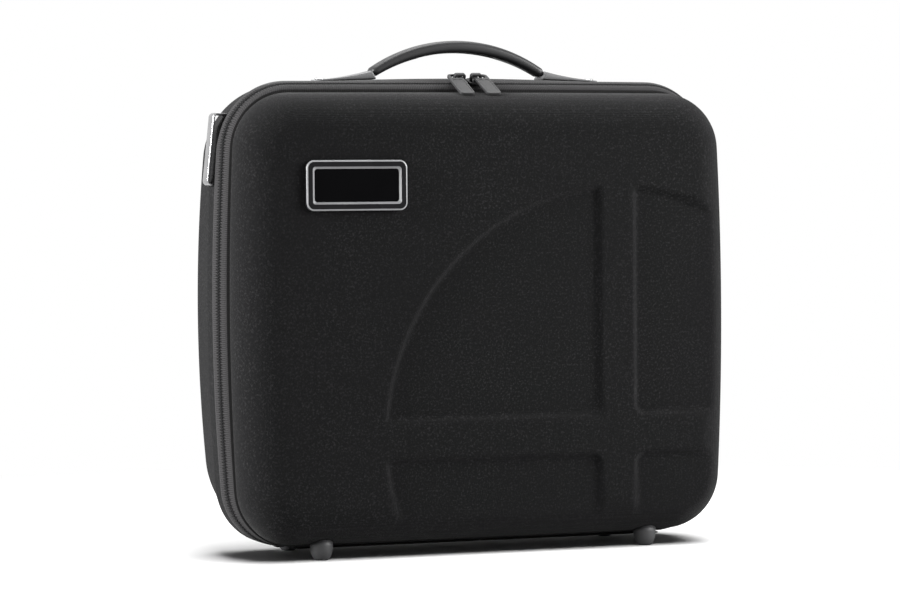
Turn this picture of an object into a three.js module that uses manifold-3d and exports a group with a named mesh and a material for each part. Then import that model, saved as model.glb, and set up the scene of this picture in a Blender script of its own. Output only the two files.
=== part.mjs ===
// A zipped, moulded carrying case for a studio microphone, standing upright on its four feet.
//
// Lengths are in millimetres. X runs to the right of someone who looks at the front, Y runs to the
// back and Z runs up from the surface the feet stand on. Depths are counted from the plane of the
// front face, and the last group moves the whole case so that the origin is under its middle.

import * as THREE from 'three';
import { mergeVertices } from 'three/addons/utils/BufferGeometryUtils.js';
import Module from 'manifold-3d';

const wasm = await Module();
wasm.setup();

// Gaps and runs that many pieces share
const gap = 0.3; // between pieces that touch
const overrun = 3; // how far a cutting shape runs past what it cuts

// The outline that every level of the case follows, seen from the front
const frontWidth = 346.8; // front shell, at its widest
const frontTop = 303.9; // top of the front shell
const frontBottom = 9.8; // underside of the front shell
const widestLevel = 160; // height at which the bowed sides are widest
const frontSideRadius = 2100;
const flatEdgeRadius = 30000; // radius of the edges that are all but straight
const frontCornerRadius = 38;
const seamDrawIn = 2.6; // how far the seam's sides lie inside the front shell's
const bottomDrop = 1.8; // how far the seam's lower edge lies below the front shell's
const chainOutSide = 5.1; // from the seam out to the zip's chain, at the sides
const chainOutTop = 5.8; // the same at the top
const chainSideRadius = 1500;
const chainTopRadius = 20000;
const chainCornerRadius = 44;
const rimOutSide = 2.1; // from the chain out to the rear shell's rim, at the sides
const rimOutTop = 3.2; // the same at the top
const shoulderHalf = 4.6; // half of the zip's sloping middle, measured in depth
const rimTopRadius = 3000;
const rimCornerTopRadius = 49;
const bodyOut = 0.9; // from the rear shell's rim out to its widest girth, at the sides
const bodyOutTop = 1.2; // the same at the top
const bodyTopRadius = 2250;
const bodyCornerTopRadius = 51;
const backCornerTopRadius = 52; // where the rear shell begins to round into its back
const backCornerBottomRadius = 58;
const backSideRadius = 1080;
const rearCornerBottomRadius = 40;

// Depths behind the front face
const seamDepth = 34; // rim of the front shell
const chainDepth = 42; // middle of the zip
const rimDepth = 49; // rim of the rear shell
const girthDepth = 58; // where the rear shell is widest
const rearRoundStart = 77; // where the rear shell begins to round into its back
const rearRoundRadius = 33;
const rearDraft = 0.6; // drawn in between the girth and the rounding
const frontRoundRadius = 27;

// Shell walls
const wall = 5; // moulded foam wall
const faceWall = 6.5; // front wall, thicker because the relief is sunk into it
const backWall = 5;
const innerRoundFront = 18; // inside radius between the front wall and the sides
const innerRoundRear = 24;
const rimSoftening = 2.2; // how far the rim's outer edge is rounded off
const rimSofteningDepth = 2.4;
const softenedShare = 0.3; // of both, at the middle of a rounded edge

// Relief sunk into the front face: four quarters of a ring crossed by two bands
const reliefFromSide = 85.4; // from the front shell's widest place to the crossing of the bands
const reliefFromBottom = 67;
const reliefX = frontWidth / 2 - reliefFromSide;
const reliefZ = frontBottom + reliefFromBottom;
const reliefRadius = 164; // to the middle of the sloping edge
const reliefDepth = 3.3;
const reliefSlope = 5.6; // width of the sloping edge
const uprightBand = 25.6;
const levelBand = 26.6;
const reliefCorner = 7; // corner radius of each quarter beside the crossing

// Badge on the front face
const badgeFromSide = 77.4; // from the front shell's widest place to the badge's middle
const badgeFromTop = 60.7;
const badgeX = badgeFromSide - frontWidth / 2;
const badgeZ = frontTop - badgeFromTop;
const badgeWidth = 69.4;
const badgeHeight = 33;
const badgeCorner = 5.4;
const badgeProud = 3.2; // how far the frame stands out of the face
const badgeOuterBevel = 1.7;
const badgeBezel = 2.6; // flat part of the frame
const badgeInnerBevel = 1.5;
const badgeInsertSunk = 1.2; // insert's face behind the bezel
const badgeFloor = 0.6; // frame's own floor behind the insert

// Zip
const tapeThickness = 1;
const coilReach = 1.9; // width of the thick coiled edge on each tape
const coilTaper = 0.4; // over which it thins to the tape
const coilThickness = 1.9; // all of it on the inside, so that the tape is flush outside
const coilCrown = 0.15; // swell at the middle of that edge
const chainGap = 1.4; // slot between the two edges
const tapeTurn = 1; // steps of the lower corner that the zip leaves free
const sliderTilt = 24; // degrees that the sliders lean forward, with the tape under them
const stopLength = 6;
const stopHeight = 3.6;
const stopClear = 1.6; // between the end of the chain and its stop

// Sliders and pulls
const slidersMeet = -2.5; // where the two sliders meet, beside the middle
const sliderLength = 11.4;
const sliderShoulder = 10.4; // width where the chain parts
const sliderTail = 8.2;
const sliderRound = 2.2;
const sliderPlate = 1.3;
const sliderChannel = 3.9; // inside height
const sliderSink = 0.4; // its middle below the tape's, because the coil is all on the inside
const sliderFlange = 0.9; // thickness of the turned-in edges
const sliderFlangeDrop = 0.8; // how far they turn in
const sliderPostLength = 3;
const sliderPostThickness = 0.7;
const sliderPostInset = 0.8;
const bridgeInset = 1.5; // from the slider's end to the bridge's leg
const bridgeLength = 8;
const bridgeRise = 5;
const bridgeThickness = 1.4;
const bridgeWidth = 3;
const bridgeRound = 1.7;
const pullWidth = 10.3;
const pullLength = 30.5;
const pullThickness = 1.9;
const pullHead = 3.4; // from the bridge's leg to the head of the pull
const pullHeadRound = 3;
const pullEndCut = 2.6; // corners cut off the free end
const pullTilt = 26; // degrees that the pulls lie at, resting on the front shell
const pullSwing = { left: 0, right: 1 }; // degrees that each hangs to the side
const pullEyeWidth = 5.2;
const pullEyeLength = 4.8;
const pullLift = 1.3; // between the slider's top and the pull
const pullRim = 1.3; // raised rim round the pull's face
const pullPanelDepth = 0.35;
const pullPanelStart = 5.2; // from the bridge's leg to the sunk panel

// Fabric hinge along the bottom
const hingeClear = 4; // between its ends and the stops of the zip
const hingeThickness = 0.9;
const hingeLap = 6; // lap under each shell
const hingeSlit = 0.4; // between the two halves, where the fabric folds

// Handle
const handleDepth = 68; // its middle, behind the front face
const handleRise = 25.7; // from the top of the rear shell to its crown
const handleCrown = frontTop + chainOutTop + rimOutTop + bodyOutTop + handleRise;
const handleRadius = 111; // outside of the arch
const gripThickness = 8.6; // at the crown
const gripEndThickness = 6.4;
const coreDepth = 3.6; // from the outside of the arch in to the middle of the strip
const gripWidth = 12.5;
const gripSquareShare = 0.72; // 1 for an oval section, and less for a squarer one
const gripEndAngle = 34.5; // degrees from the crown to each end of the grip
const coreThickness = 2.6;
const coreWidth = 8;
const gripSlotAngle = 16; // degrees that the slot under the grip runs to each side
const gripSlotWidth = 5;
const gripSlotDepth = 2;
const endWidth = 16;
const endTipHeight = 1.2;
const endTipRound = 7.9;
const endShoulderDrop = 0.9; // the end piece's top below the grip's
const endSag = 2.2; // how far its top dips below a straight line
const rivetFromSide = 76.6; // from the front face's side in to the rivet
const rivetX = frontWidth / 2 - rivetFromSide;
const endPastRivet = 5.7;
const endTip = rivetX + endPastRivet; // from the middle to the tip of each end piece
const rivetHeadRadius = 3.4;
const rivetHeadHeight = 1.1;
const rivetRadius = 1.8;
const rivetTailRadius = 3;
const rivetTailHeight = 1.2;
const rivetSeat = 0.5; // play of the seat cut for the head
const backingLength = 26;
const backingWidth = 16;
const backingThickness = 1.5;

// Strap loops on the sides
const loopFromTop = 13.5; // from the front shell's top down to the upper leg
const loopLength = 46; // from leg to leg
const loopHigh = frontTop - loopFromTop;
const loopLow = loopHigh - loopLength;
const loopBehindRim = 7.2; // from the rear shell's rim to the middle of the loop
const loopDepth = rimDepth + loopBehindRim;
const loopWidth = 10.4;
const loopThickness = 1.5;
const loopStand = 2.8; // from the shell's side to the bar at the lower leg
const loopHollow = 2.3; // how deep the shell is hollowed under the bar
const loopHollowRadius = 50;
const loopLean = 6.3; // degrees that the bar leans in from the upright
const loopBend = 3.2; // outside radius of its bends
const loopPlateLength = 54;
const loopPlateWidth = 15;
const loopPlateThickness = 1.5;
const loopPlateClear = 3.4; // the plate is flat and the wall behind it isn't

// Feet
const footFromSide = 58.4; // from the front shell's widest place to the foot's middle
const footX = frontWidth / 2 - footFromSide;
const footFrontDepth = 20;
const footRearDepth = 88;
const footRadius = 7.6;
const footTipRadius = 3.4;
const footHeight = 16; // before its top is shaped to the shell

// Foam inside
const foamFit = 0.5; // round the foam
const lidFoamBack = 29;
const lidFoamEdge = 3;
const baseFoamFront = 51.5;
const pocketFloor = 12; // foam left behind each pocket
const pocketEdge = 16; // foam left between pockets and round them
const microphoneWidth = 66;
const microphoneLength = 226;
const microphoneLow = 40;
const mountWidth = 178;
const mountHeight = 132;
const pocketCorner = 14;
const cableHeight = 78;
const thumbRadius = 17; // finger hollows beside the microphone
const thumbShallow = 14; // how much less deep they are
const notchClear = 1.2; // foam cut away round the plates inside

// Counts
const bottomSteps = 3;
const cornerSteps = 7;
const sideSteps = 5;
const topSteps = 4;
const roundSteps = 6;
const reliefArcSteps = 16;
const smallArcSteps = 5;
const tinyArcSteps = 3;
const hollowSteps = 72;
const gripSteps = 18;
const gripSectionSteps = 14;
const rivetSides = 16;
const footSides = 20;

const degrees = Math.PI / 180;
const caseDepth = rearRoundStart + rearRoundRadius;

// Materials
function material(colour, roughness, metalness) {
  return new THREE.MeshStandardMaterial({ color: colour, roughness, metalness });
}
const wovenBlack = () => material(0x232325, 0.85, 0);
const tapeBlack = () => material(0x2b2b2d, 0.8, 0);
const foamGrey = () => material(0x3a3a3d, 0.95, 0);
const rubberBlack = () => material(0x1d1d1f, 0.6, 0);
const gripRubber = () => material(0x2a2a2c, 0.45, 0);
const endGrey = () => material(0x5c5c5f, 0.5, 0);
const satinMetal = () => material(0x8f8f92, 0.35, 0.9);
const brightMetal = () => material(0xc4c4c6, 0.3, 0.9);
const glossBlack = () => material(0x101012, 0.15, 0);
const frameBlack = () => material(0x1c1c1e, 0.3, 0);

// Solids

// The volume inside a closed mesh, which is negative when its faces point inwards.
function signedVolume(positions, index) {
  const a = new THREE.Vector3();
  const b = new THREE.Vector3();
  const c = new THREE.Vector3();
  let total = 0;
  for (let i = 0; i < index.length; i += 3) {
    a.fromArray(positions, index[i] * 3);
    b.fromArray(positions, index[i + 1] * 3);
    c.fromArray(positions, index[i + 2] * 3);
    total += a.dot(b.cross(c));
  }
  return total;
}

// Closed rings of points joined one to the next, with a flat face over the first and the last.
// The faces are cut up as the flat outline says, and all of it is turned to face outwards.
function loft(rings, flat) {
  const count = rings[0].length;
  const positions = rings.flat().flatMap((point) => point.toArray());
  const index = [];
  for (let i = 0; i < rings.length - 1; i++) {
    for (let j = 0; j < count; j++) {
      const a = i * count + j;
      const b = i * count + ((j + 1) % count);
      index.push(a, b, a + count, b, b + count, a + count);
    }
  }
  const last = (rings.length - 1) * count;
  const face = THREE.ShapeUtils.triangulateShape(flat, []);
  const turned = THREE.ShapeUtils.area(flat) < 0;
  for (const [a, b, c] of face) {
    if (turned) {
      index.push(a, b, c);
      index.push(last + a, last + c, last + b);
    } else {
      index.push(a, c, b);
      index.push(last + a, last + b, last + c);
    }
  }
  if (signedVolume(positions, index) < 0) {
    for (let i = 0; i < index.length; i += 3) {
      [index[i + 1], index[i + 2]] = [index[i + 2], index[i + 1]];
    }
  }
  const geometry = new THREE.BufferGeometry();
  geometry.setAttribute('position', new THREE.Float32BufferAttribute(positions, 3));
  geometry.setIndex(index);
  geometry.computeVertexNormals();
  return geometry;
}

function welded(geometry) {
  const bare = geometry.clone();
  bare.deleteAttribute('normal');
  bare.deleteAttribute('uv');
  return mergeVertices(bare);
}

function solidOf(geometry) {
  const merged = welded(geometry);
  return new wasm.Manifold(new wasm.Mesh({
    numProp: 3,
    vertProperties: new Float32Array(merged.attributes.position.array),
    triVerts: new Uint32Array(merged.index.array),
  }));
}

function geometryOf(solid) {
  const mesh = solid.getMesh();
  const geometry = new THREE.BufferGeometry();
  geometry.setAttribute('position', new THREE.BufferAttribute(mesh.vertProperties, 3));
  geometry.setIndex(new THREE.BufferAttribute(mesh.triVerts, 1));
  geometry.computeVertexNormals();
  return geometry;
}

function cut(geometry, tools) {
  return geometryOf(tools.reduce((solid, tool) => solid.subtract(solidOf(tool)), solidOf(geometry)));
}

function join(geometries) {
  return geometryOf(geometries.map(solidOf).reduce((all, solid) => all.add(solid)));
}

function common(a, b) {
  return geometryOf(solidOf(a).intersect(solidOf(b)));
}

// The same piece for the other side of the case.
function mirrored(geometry) {
  const copy = welded(geometry);
  const points = copy.attributes.position;
  for (let i = 0; i < points.count; i++) {
    points.setX(i, -points.getX(i));
  }
  const index = copy.index;
  for (let i = 0; i < index.count; i += 3) {
    const second = index.getX(i + 1);
    index.setX(i + 1, index.getX(i + 2));
    index.setX(i + 2, second);
  }
  copy.computeVertexNormals();
  return copy;
}

// A flat shape seen from the front, as thick as the two depths are apart.
function slab(shape, fromDepth, toDepth) {
  const geometry = new THREE.ExtrudeGeometry(shape, {
    depth: toDepth - fromDepth,
    bevelEnabled: false,
    curveSegments: smallArcSteps,
  });
  geometry.rotateX(Math.PI / 2);
  geometry.translate(0, toDepth, 0);
  return geometry;
}

function block(width, depth, height, x, y, z) {
  const geometry = new THREE.BoxGeometry(width, depth, height);
  geometry.translate(x, y, z);
  return geometry;
}

function roundedRectangle(width, height, radius, x, z) {
  const shape = new THREE.Shape();
  const right = x + width / 2 - radius;
  const left = x - width / 2 + radius;
  const top = z + height / 2 - radius;
  const bottom = z - height / 2 + radius;
  shape.absarc(right, bottom, radius, -Math.PI / 2, 0);
  shape.absarc(right, top, radius, 0, Math.PI / 2);
  shape.absarc(left, top, radius, Math.PI / 2, Math.PI);
  shape.absarc(left, bottom, radius, Math.PI, Math.PI * 1.5);
  shape.closePath();
  return shape;
}

// Outline of the case

const frontForm = {
  side: frontWidth / 2,
  top: frontTop,
  bottom: frontBottom,
  sideRadius: frontSideRadius,
  topRadius: flatEdgeRadius,
  bottomRadius: flatEdgeRadius,
  cornerTop: frontCornerRadius,
  cornerBottom: frontCornerRadius,
};
const seamForm = {
  ...frontForm,
  side: frontForm.side - seamDrawIn,
  bottom: frontBottom - bottomDrop,
};
const chainForm = {
  ...seamForm,
  side: seamForm.side + chainOutSide,
  top: frontTop + chainOutTop,
  sideRadius: chainSideRadius,
  topRadius: chainTopRadius,
  cornerTop: chainCornerRadius,
  cornerBottom: rearCornerBottomRadius,
};
const rimForm = {
  ...chainForm,
  side: chainForm.side + rimOutSide,
  top: chainForm.top + rimOutTop,
  topRadius: rimTopRadius,
  cornerTop: rimCornerTopRadius,
};
const bodyForm = {
  ...rimForm,
  side: rimForm.side + bodyOut,
  top: rimForm.top + bodyOutTop,
  topRadius: bodyTopRadius,
  cornerTop: bodyCornerTopRadius,
};

const backForm = {
  ...bodyForm,
  side: bodyForm.side - rearDraft,
  top: bodyForm.top - rearDraft,
  bottom: bodyForm.bottom + rearDraft,
  sideRadius: backSideRadius,
  cornerTop: backCornerTopRadius,
  cornerBottom: backCornerBottomRadius,
};

// The zip slopes evenly across its middle, so that both sliders can run on it.
const shoulderRise = shoulderHalf * Math.tan(sliderTilt * degrees);

function shoulder(out) {
  return {
    ...chainForm,
    side: chainForm.side + out,
    top: chainForm.top + out,
    cornerTop: chainForm.cornerTop + out,
  };
}

const levels = [
  [seamDepth, seamForm],
  [chainDepth - shoulderHalf, shoulder(-shoulderRise)],
  [chainDepth, chainForm],
  [chainDepth + shoulderHalf, shoulder(shoulderRise)],
  [rimDepth, rimForm],
  [girthDepth, bodyForm],
];

// The form at a depth between the seam and the rear shell's girth.
function formAt(depth) {
  const reached = levels.findIndex(([level], i) => i > 0 && depth <= level);
  const after = reached < 0 ? levels.length - 1 : reached;
  const [fromDepth, from] = levels[after - 1];
  const [toDepth, to] = levels[after];
  const share = THREE.MathUtils.clamp((depth - fromDepth) / (toDepth - fromDepth), 0, 1);
  const form = {};
  for (const key of Object.keys(from)) {
    form[key] = key === 'topRadius'
      ? 1 / THREE.MathUtils.lerp(1 / from[key], 1 / to[key], share)
      : THREE.MathUtils.lerp(from[key], to[key], share);
  }
  return form;
}

// Where two circles cross, on the side that "outward" points to.
function crossing(first, firstRadius, second, secondRadius, outward) {
  const between = new THREE.Vector2().subVectors(second, first);
  const distance = between.length();
  const along = (firstRadius ** 2 - secondRadius ** 2 + distance ** 2) / (2 * distance);
  const aside = Math.sqrt(firstRadius ** 2 - along ** 2);
  between.normalize();
  const normal = new THREE.Vector2(-between.y, between.x);
  const foot = first.clone().addScaledVector(between, along);
  const side = Math.sign(normal.dot(outward));
  return foot.addScaledVector(normal, side * aside);
}

// Centres of the arcs that make up the right half of an outline, each touching the next.
function arcsOf(form) {
  const side = new THREE.Vector2(form.side - form.sideRadius, widestLevel);
  const top = new THREE.Vector2(0, form.top - form.topRadius);
  const bottom = new THREE.Vector2(0, form.bottom + form.bottomRadius);
  const upper = crossing(side, form.sideRadius - form.cornerTop, top, form.topRadius - form.cornerTop,
    new THREE.Vector2(1, 1));
  const lower = crossing(side, form.sideRadius - form.cornerBottom, bottom,
    form.bottomRadius - form.cornerBottom, new THREE.Vector2(1, -1));
  return { side, top, bottom, upper, lower };
}

const angleFrom = (centre, point) => Math.atan2(point.y - centre.y, point.x - centre.x);

// One outline, as points in order round it from the middle of the lower edge, moved in by the inset.
function outline(form, inset) {
  const { side, top, bottom, upper, lower } = arcsOf(form);
  const arcs = [
    [bottom, form.bottomRadius, -Math.PI / 2, angleFrom(bottom, lower), bottomSteps],
    [lower, form.cornerBottom, angleFrom(bottom, lower), angleFrom(side, lower), cornerSteps],
    [side, form.sideRadius, angleFrom(side, lower), angleFrom(side, upper), sideSteps],
    [upper, form.cornerTop, angleFrom(side, upper), angleFrom(top, upper), cornerSteps],
    [top, form.topRadius, angleFrom(top, upper), Math.PI / 2, topSteps],
  ];
  const half = [];
  for (const [centre, radius, from, to, steps] of arcs) {
    for (let i = 0; i < steps; i++) {
      const angle = THREE.MathUtils.lerp(from, to, i / steps);
      half.push(new THREE.Vector2(
        centre.x + (radius - inset) * Math.cos(angle),
        centre.y + (radius - inset) * Math.sin(angle),
      ));
    }
  }
  const crown = new THREE.Vector2(0, form.top - inset);
  const left = half.slice(1).reverse().map((point) => new THREE.Vector2(-point.x, point.y));
  return [...half, crown, ...left];
}

function ring(depth, form, inset) {
  return outline(form, inset).map((point) => new THREE.Vector3(point.x, depth, point.y));
}

// How far out the side of an outline is at one height.
function sideAt(form, height) {
  const { side, upper } = arcsOf(form);
  const contact = side.y + form.sideRadius * Math.sin(angleFrom(side, upper));
  const centre = height > contact ? upper : side;
  const radius = height > contact ? form.cornerTop : form.sideRadius;
  return centre.x + Math.sqrt(radius ** 2 - (height - centre.y) ** 2);
}

// How high the top of an outline is at one place beside the middle.
function topAt(form, x) {
  return form.top - form.topRadius + Math.sqrt(form.topRadius ** 2 - x ** 2);
}

// Shells

// Rings of a quarter-round from a wall to a flat face, and "outward" is 1 when it turns to the back.
function quarterRound(form, startDepth, radius, inset, outward) {
  const rings = [];
  for (let i = 1; i <= roundSteps; i++) {
    const angle = (i / roundSteps) * Math.PI / 2;
    rings.push(ring(startDepth + outward * radius * Math.sin(angle), form,
      inset + radius * (1 - Math.cos(angle))));
  }
  return rings;
}

// The rounded-over edge of a shell's rim, from its end face outwards.
function softRim(depth, form, outward) {
  return [
    ring(depth, form, rimSoftening),
    ring(depth + outward * rimSofteningDepth * softenedShare, form, rimSoftening * softenedShare),
    ring(depth + outward * rimSofteningDepth, form, 0),
  ];
}

function frontOutside(grown) {
  return [
    ring(frontRoundRadius, frontForm, -grown),
    ...quarterRound(frontForm, frontRoundRadius, frontRoundRadius + grown, -grown, -1),
  ];
}

function rearOutside(grown) {
  return [
    ring(girthDepth, bodyForm, -grown),
    ring(rearRoundStart, backForm, -grown),
    ...quarterRound(backForm, rearRoundStart, rearRoundRadius + grown, -grown, 1),
  ];
}

// The space inside each shell, from its rim to its floor, moved in by a play.
function frontInside(play) {
  return [
    ring(seamDepth, seamForm, wall + play),
    ring(faceWall + play + innerRoundFront, frontForm, wall + play),
    ...quarterRound(frontForm, faceWall + play + innerRoundFront, innerRoundFront, wall + play, -1),
  ];
}

function rearInside(play) {
  const start = caseDepth - backWall - play - innerRoundRear;
  return [
    ring(rimDepth, rimForm, wall + play),
    ring(girthDepth, bodyForm, wall + play),
    ring(start, backForm, wall + play),
    ...quarterRound(backForm, start, innerRoundRear, wall + play, 1),
  ];
}

const flatOutline = outline(frontForm, 0);

// One quarter of the relief as a closed outline, spread outwards by an amount.
function reliefQuarter(right, up, spread) {
  const radius = reliefRadius + spread;
  const nearX = uprightBand / 2 - spread;
  const nearZ = levelBand / 2 - spread;
  const corner = reliefCorner + spread;
  const points = [];
  const from = Math.asin(nearZ / radius);
  const to = Math.acos(nearX / radius);
  for (let i = 0; i <= reliefArcSteps; i++) {
    const angle = THREE.MathUtils.lerp(from, to, i / reliefArcSteps);
    points.push([radius * Math.cos(angle), radius * Math.sin(angle)]);
  }
  for (let i = 0; i <= smallArcSteps; i++) {
    const angle = Math.PI + (i / smallArcSteps) * Math.PI / 2;
    points.push([nearX + corner + corner * Math.cos(angle), nearZ + corner + corner * Math.sin(angle)]);
  }
  return points.map(([x, z]) => new THREE.Vector2(reliefX + right * x, reliefZ + up * z));
}

// The sunk quarter has a soft, S-shaped edge: its floor spreads wider as it nears the face.
const slopeShares = [[1, -0.5], [0.9, -0.28], [0.5, 0], [0.1, 0.28], [0, 0.5]];

function reliefCutter(right, up) {
  const levels = slopeShares.map(([depthShare, spreadShare]) => [
    reliefDepth * depthShare, reliefSlope * spreadShare]);
  levels.push([-overrun, reliefSlope / 2]);
  const rings = levels.map(([depth, spread]) => reliefQuarter(right, up, spread)
    .map((point) => new THREE.Vector3(point.x, depth, point.y)));
  return loft(rings, reliefQuarter(right, up, 0));
}

function makeFrontShell() {
  const rings = [...frontInside(0).reverse(), ...softRim(seamDepth, seamForm, -1), ...frontOutside(0)];
  const cutters = [[1, 1], [1, -1], [-1, 1], [-1, -1]].map(([right, up]) => reliefCutter(right, up));
  return cut(loft(rings, flatOutline), cutters);
}

// Strap loops: each stands a little more upright than the shell's side, which curves away above it.
const loopFoot = new THREE.Vector2(sideAt(formAt(loopDepth), loopLow), loopLow);
const loopHead = new THREE.Vector2(sideAt(formAt(loopDepth), loopHigh), loopHigh);
const wallMiddle = loopFoot.clone().add(loopHead).divideScalar(2);
const wallLean = Math.atan2(loopFoot.x - loopHead.x, loopHead.y - loopFoot.y);
const loopSpan = (loopHigh - loopLow) / Math.cos(loopLean * degrees);
const loopMiddle = loopFoot.clone().add(new THREE.Vector2(
  -Math.sin(loopLean * degrees) * loopSpan / 2,
  Math.cos(loopLean * degrees) * loopSpan / 2,
));
const plateReach = wall + loopPlateClear + loopPlateThickness;
const loopReach = 2 * plateReach;

// Puts a piece drawn about the loop's own middle where the right-hand loop is.
function placeAtLoop(geometry) {
  geometry.rotateY(-loopLean * degrees);
  geometry.translate(loopMiddle.x, loopDepth, loopMiddle.y);
  return geometry;
}

// The same for a piece drawn about the middle of the shell's side behind the loop.
function placeAtWall(geometry) {
  geometry.rotateY(-wallLean);
  geometry.translate(wallMiddle.x, loopDepth, wallMiddle.y);
  return geometry;
}

function loopShape() {
  const out = loopStand + loopThickness;
  const half = (loopSpan + loopThickness) / 2;
  const inner = half - loopThickness;
  const innerBend = loopBend - loopThickness;
  const shape = new THREE.Shape();
  shape.moveTo(-loopReach, -half);
  shape.absarc(out - loopBend, -half + loopBend, loopBend, -Math.PI / 2, 0);
  shape.absarc(out - loopBend, half - loopBend, loopBend, 0, Math.PI / 2);
  shape.lineTo(-loopReach, half);
  shape.lineTo(-loopReach, inner);
  shape.absarc(loopStand - innerBend, inner - innerBend, innerBend, Math.PI / 2, 0, true);
  shape.absarc(loopStand - innerBend, -inner + innerBend, innerBend, 0, -Math.PI / 2, true);
  shape.lineTo(-loopReach, -inner);
  shape.closePath();
  return shape;
}

function makeLoop() {
  const half = loopWidth / 2;
  const bent = placeAtLoop(slab(loopShape(), -half, half));
  const outward = plateReach + loopPlateLength;
  const trim = placeAtWall(block(outward, loopPlateWidth, 2 * loopPlateLength,
    outward / 2 - plateReach, 0, 0));
  return common(bent, trim);
}

// The two legs alone, grown by a gap, to cut the slots they pass through.
function loopSlots() {
  return [-1, 1].map((side) => placeAtLoop(block(
    2 * loopReach + loopStand,
    loopWidth + 2 * gap,
    loopThickness + 2 * gap,
    -overrun / 2,
    0,
    side * loopSpan / 2,
  )));
}

// The shallow hollow in the shell's side that leaves a strap room to pass under the bar.
function loopHollowCutter() {
  const cutter = new THREE.CylinderGeometry(loopHollowRadius, loopHollowRadius,
    loopSpan - loopThickness - 2 * gap, hollowSteps, 1);
  cutter.rotateX(Math.PI / 2);
  cutter.translate(loopHollowRadius - loopHollow, 0, 0);
  return placeAtLoop(cutter);
}

function makeLoopPlate() {
  const plate = block(loopPlateThickness, loopPlateWidth, loopPlateLength,
    -plateReach + loopPlateThickness / 2, 0, 0);
  return cut(placeAtWall(plate), loopSlots());
}

function loopNotch() {
  const thickness = loopPlateThickness + 2 * (notchClear + wall);
  return placeAtWall(block(
    thickness,
    loopPlateWidth + 2 * notchClear,
    loopPlateLength + 2 * notchClear,
    -plateReach - notchClear + thickness / 2,
    0,
    0,
  ));
}

// Handle

const archCentre = handleCrown - handleRadius;
const archMiddle = handleRadius - coreDepth;
const shellTop = topAt(bodyForm, 0);

// A ring of points round the grip's oval section, at an angle from the crown.
function gripRing(angle, width, thickness, squareness) {
  const points = [];
  for (let i = 0; i < gripSectionSteps; i++) {
    const turn = (i / gripSectionSteps) * Math.PI * 2;
    const across = Math.sign(Math.cos(turn)) * Math.abs(Math.cos(turn)) ** squareness;
    const through = Math.sign(Math.sin(turn)) * Math.abs(Math.sin(turn)) ** squareness;
    const reach = handleRadius - (1 - through) * thickness / 2;
    points.push(new THREE.Vector3(
      reach * Math.sin(angle),
      handleDepth + across * width / 2,
      archCentre + reach * Math.cos(angle),
    ));
  }
  return points;
}

// A flat strip that follows the arch: its width runs front to back.
function archStrip(toAngle, width, middle, thickness, steps) {
  const rings = [];
  for (let i = 0; i <= steps; i++) {
    const angle = THREE.MathUtils.lerp(-toAngle, toAngle, i / steps);
    rings.push([[-1, -1], [1, -1], [1, 1], [-1, 1]].map(([across, through]) => {
      const reach = middle + through * thickness / 2;
      return new THREE.Vector3(
        reach * Math.sin(angle),
        handleDepth + across * width / 2,
        archCentre + reach * Math.cos(angle),
      );
    }));
  }
  const square = [[-1, -1], [1, -1], [1, 1], [-1, 1]].map(([x, y]) => new THREE.Vector2(x, y));
  return loft(rings, square);
}

function makeGrip() {
  const end = gripEndAngle * degrees;
  const rings = [];
  for (let i = 0; i <= gripSteps; i++) {
    const angle = THREE.MathUtils.lerp(-end, end, i / gripSteps);
    const thickness = THREE.MathUtils.lerp(gripThickness, gripEndThickness, (angle / end) ** 2);
    rings.push(gripRing(angle, gripWidth, thickness, gripSquareShare));
  }
  const section = gripRing(0, gripWidth, gripThickness, gripSquareShare)
    .map((point) => new THREE.Vector2(point.y, point.z));
  const past = end + overrun / handleRadius;
  const bore = archStrip(past, coreWidth + 2 * gap, archMiddle, coreThickness + 2 * gap, gripSteps);
  const slotMiddle = handleRadius - gripThickness;
  const slot = archStrip(gripSlotAngle * degrees, gripSlotWidth, slotMiddle, 2 * gripSlotDepth, gripSteps);
  return cut(loft(rings, section), [bore, slot]);
}

// Top of an end piece at a place along it, from the grip down to the tip.
const endFaceTop = handleRadius - endShoulderDrop;

function endProfile() {
  const angle = gripEndAngle * degrees + gap / handleRadius;
  const top = new THREE.Vector2(
    endFaceTop * Math.sin(angle), archCentre + endFaceTop * Math.cos(angle));
  const tipHeight = topAt(bodyForm, endTip) + gap + endTipHeight;
  const tip = new THREE.Vector2(endTip, tipHeight);
  const control = top.clone().add(tip).divideScalar(2);
  control.y -= endSag;
  const underGrip = handleRadius - gripEndThickness;
  const shape = new THREE.Shape();
  const baseStart = underGrip * Math.sin(angle);
  shape.moveTo(baseStart, topAt(bodyForm, baseStart) + gap);
  for (let i = 1; i <= smallArcSteps; i++) {
    const x = THREE.MathUtils.lerp(baseStart, endTip, i / smallArcSteps);
    shape.lineTo(x, topAt(bodyForm, x) + gap);
  }
  shape.lineTo(tip.x, tip.y);
  shape.quadraticCurveTo(control.x, control.y, top.x, top.y);
  shape.closePath();
  return { shape, top, tip, control };
}

// Height of the end piece's curved top beside the middle, found along the curve it is drawn with.
function endTopAt(x) {
  const { top, tip, control } = endProfile();
  const a = tip.x - 2 * control.x + top.x;
  const b = 2 * (control.x - tip.x);
  const c = tip.x - x;
  const root = Math.sqrt(b * b - 4 * a * c);
  const t = Math.abs(a) < Number.EPSILON * endTip ? -c / b : (-b - root) / (2 * a);
  return (1 - t) ** 2 * tip.y + 2 * t * (1 - t) * control.y + t ** 2 * top.y;
}

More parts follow.
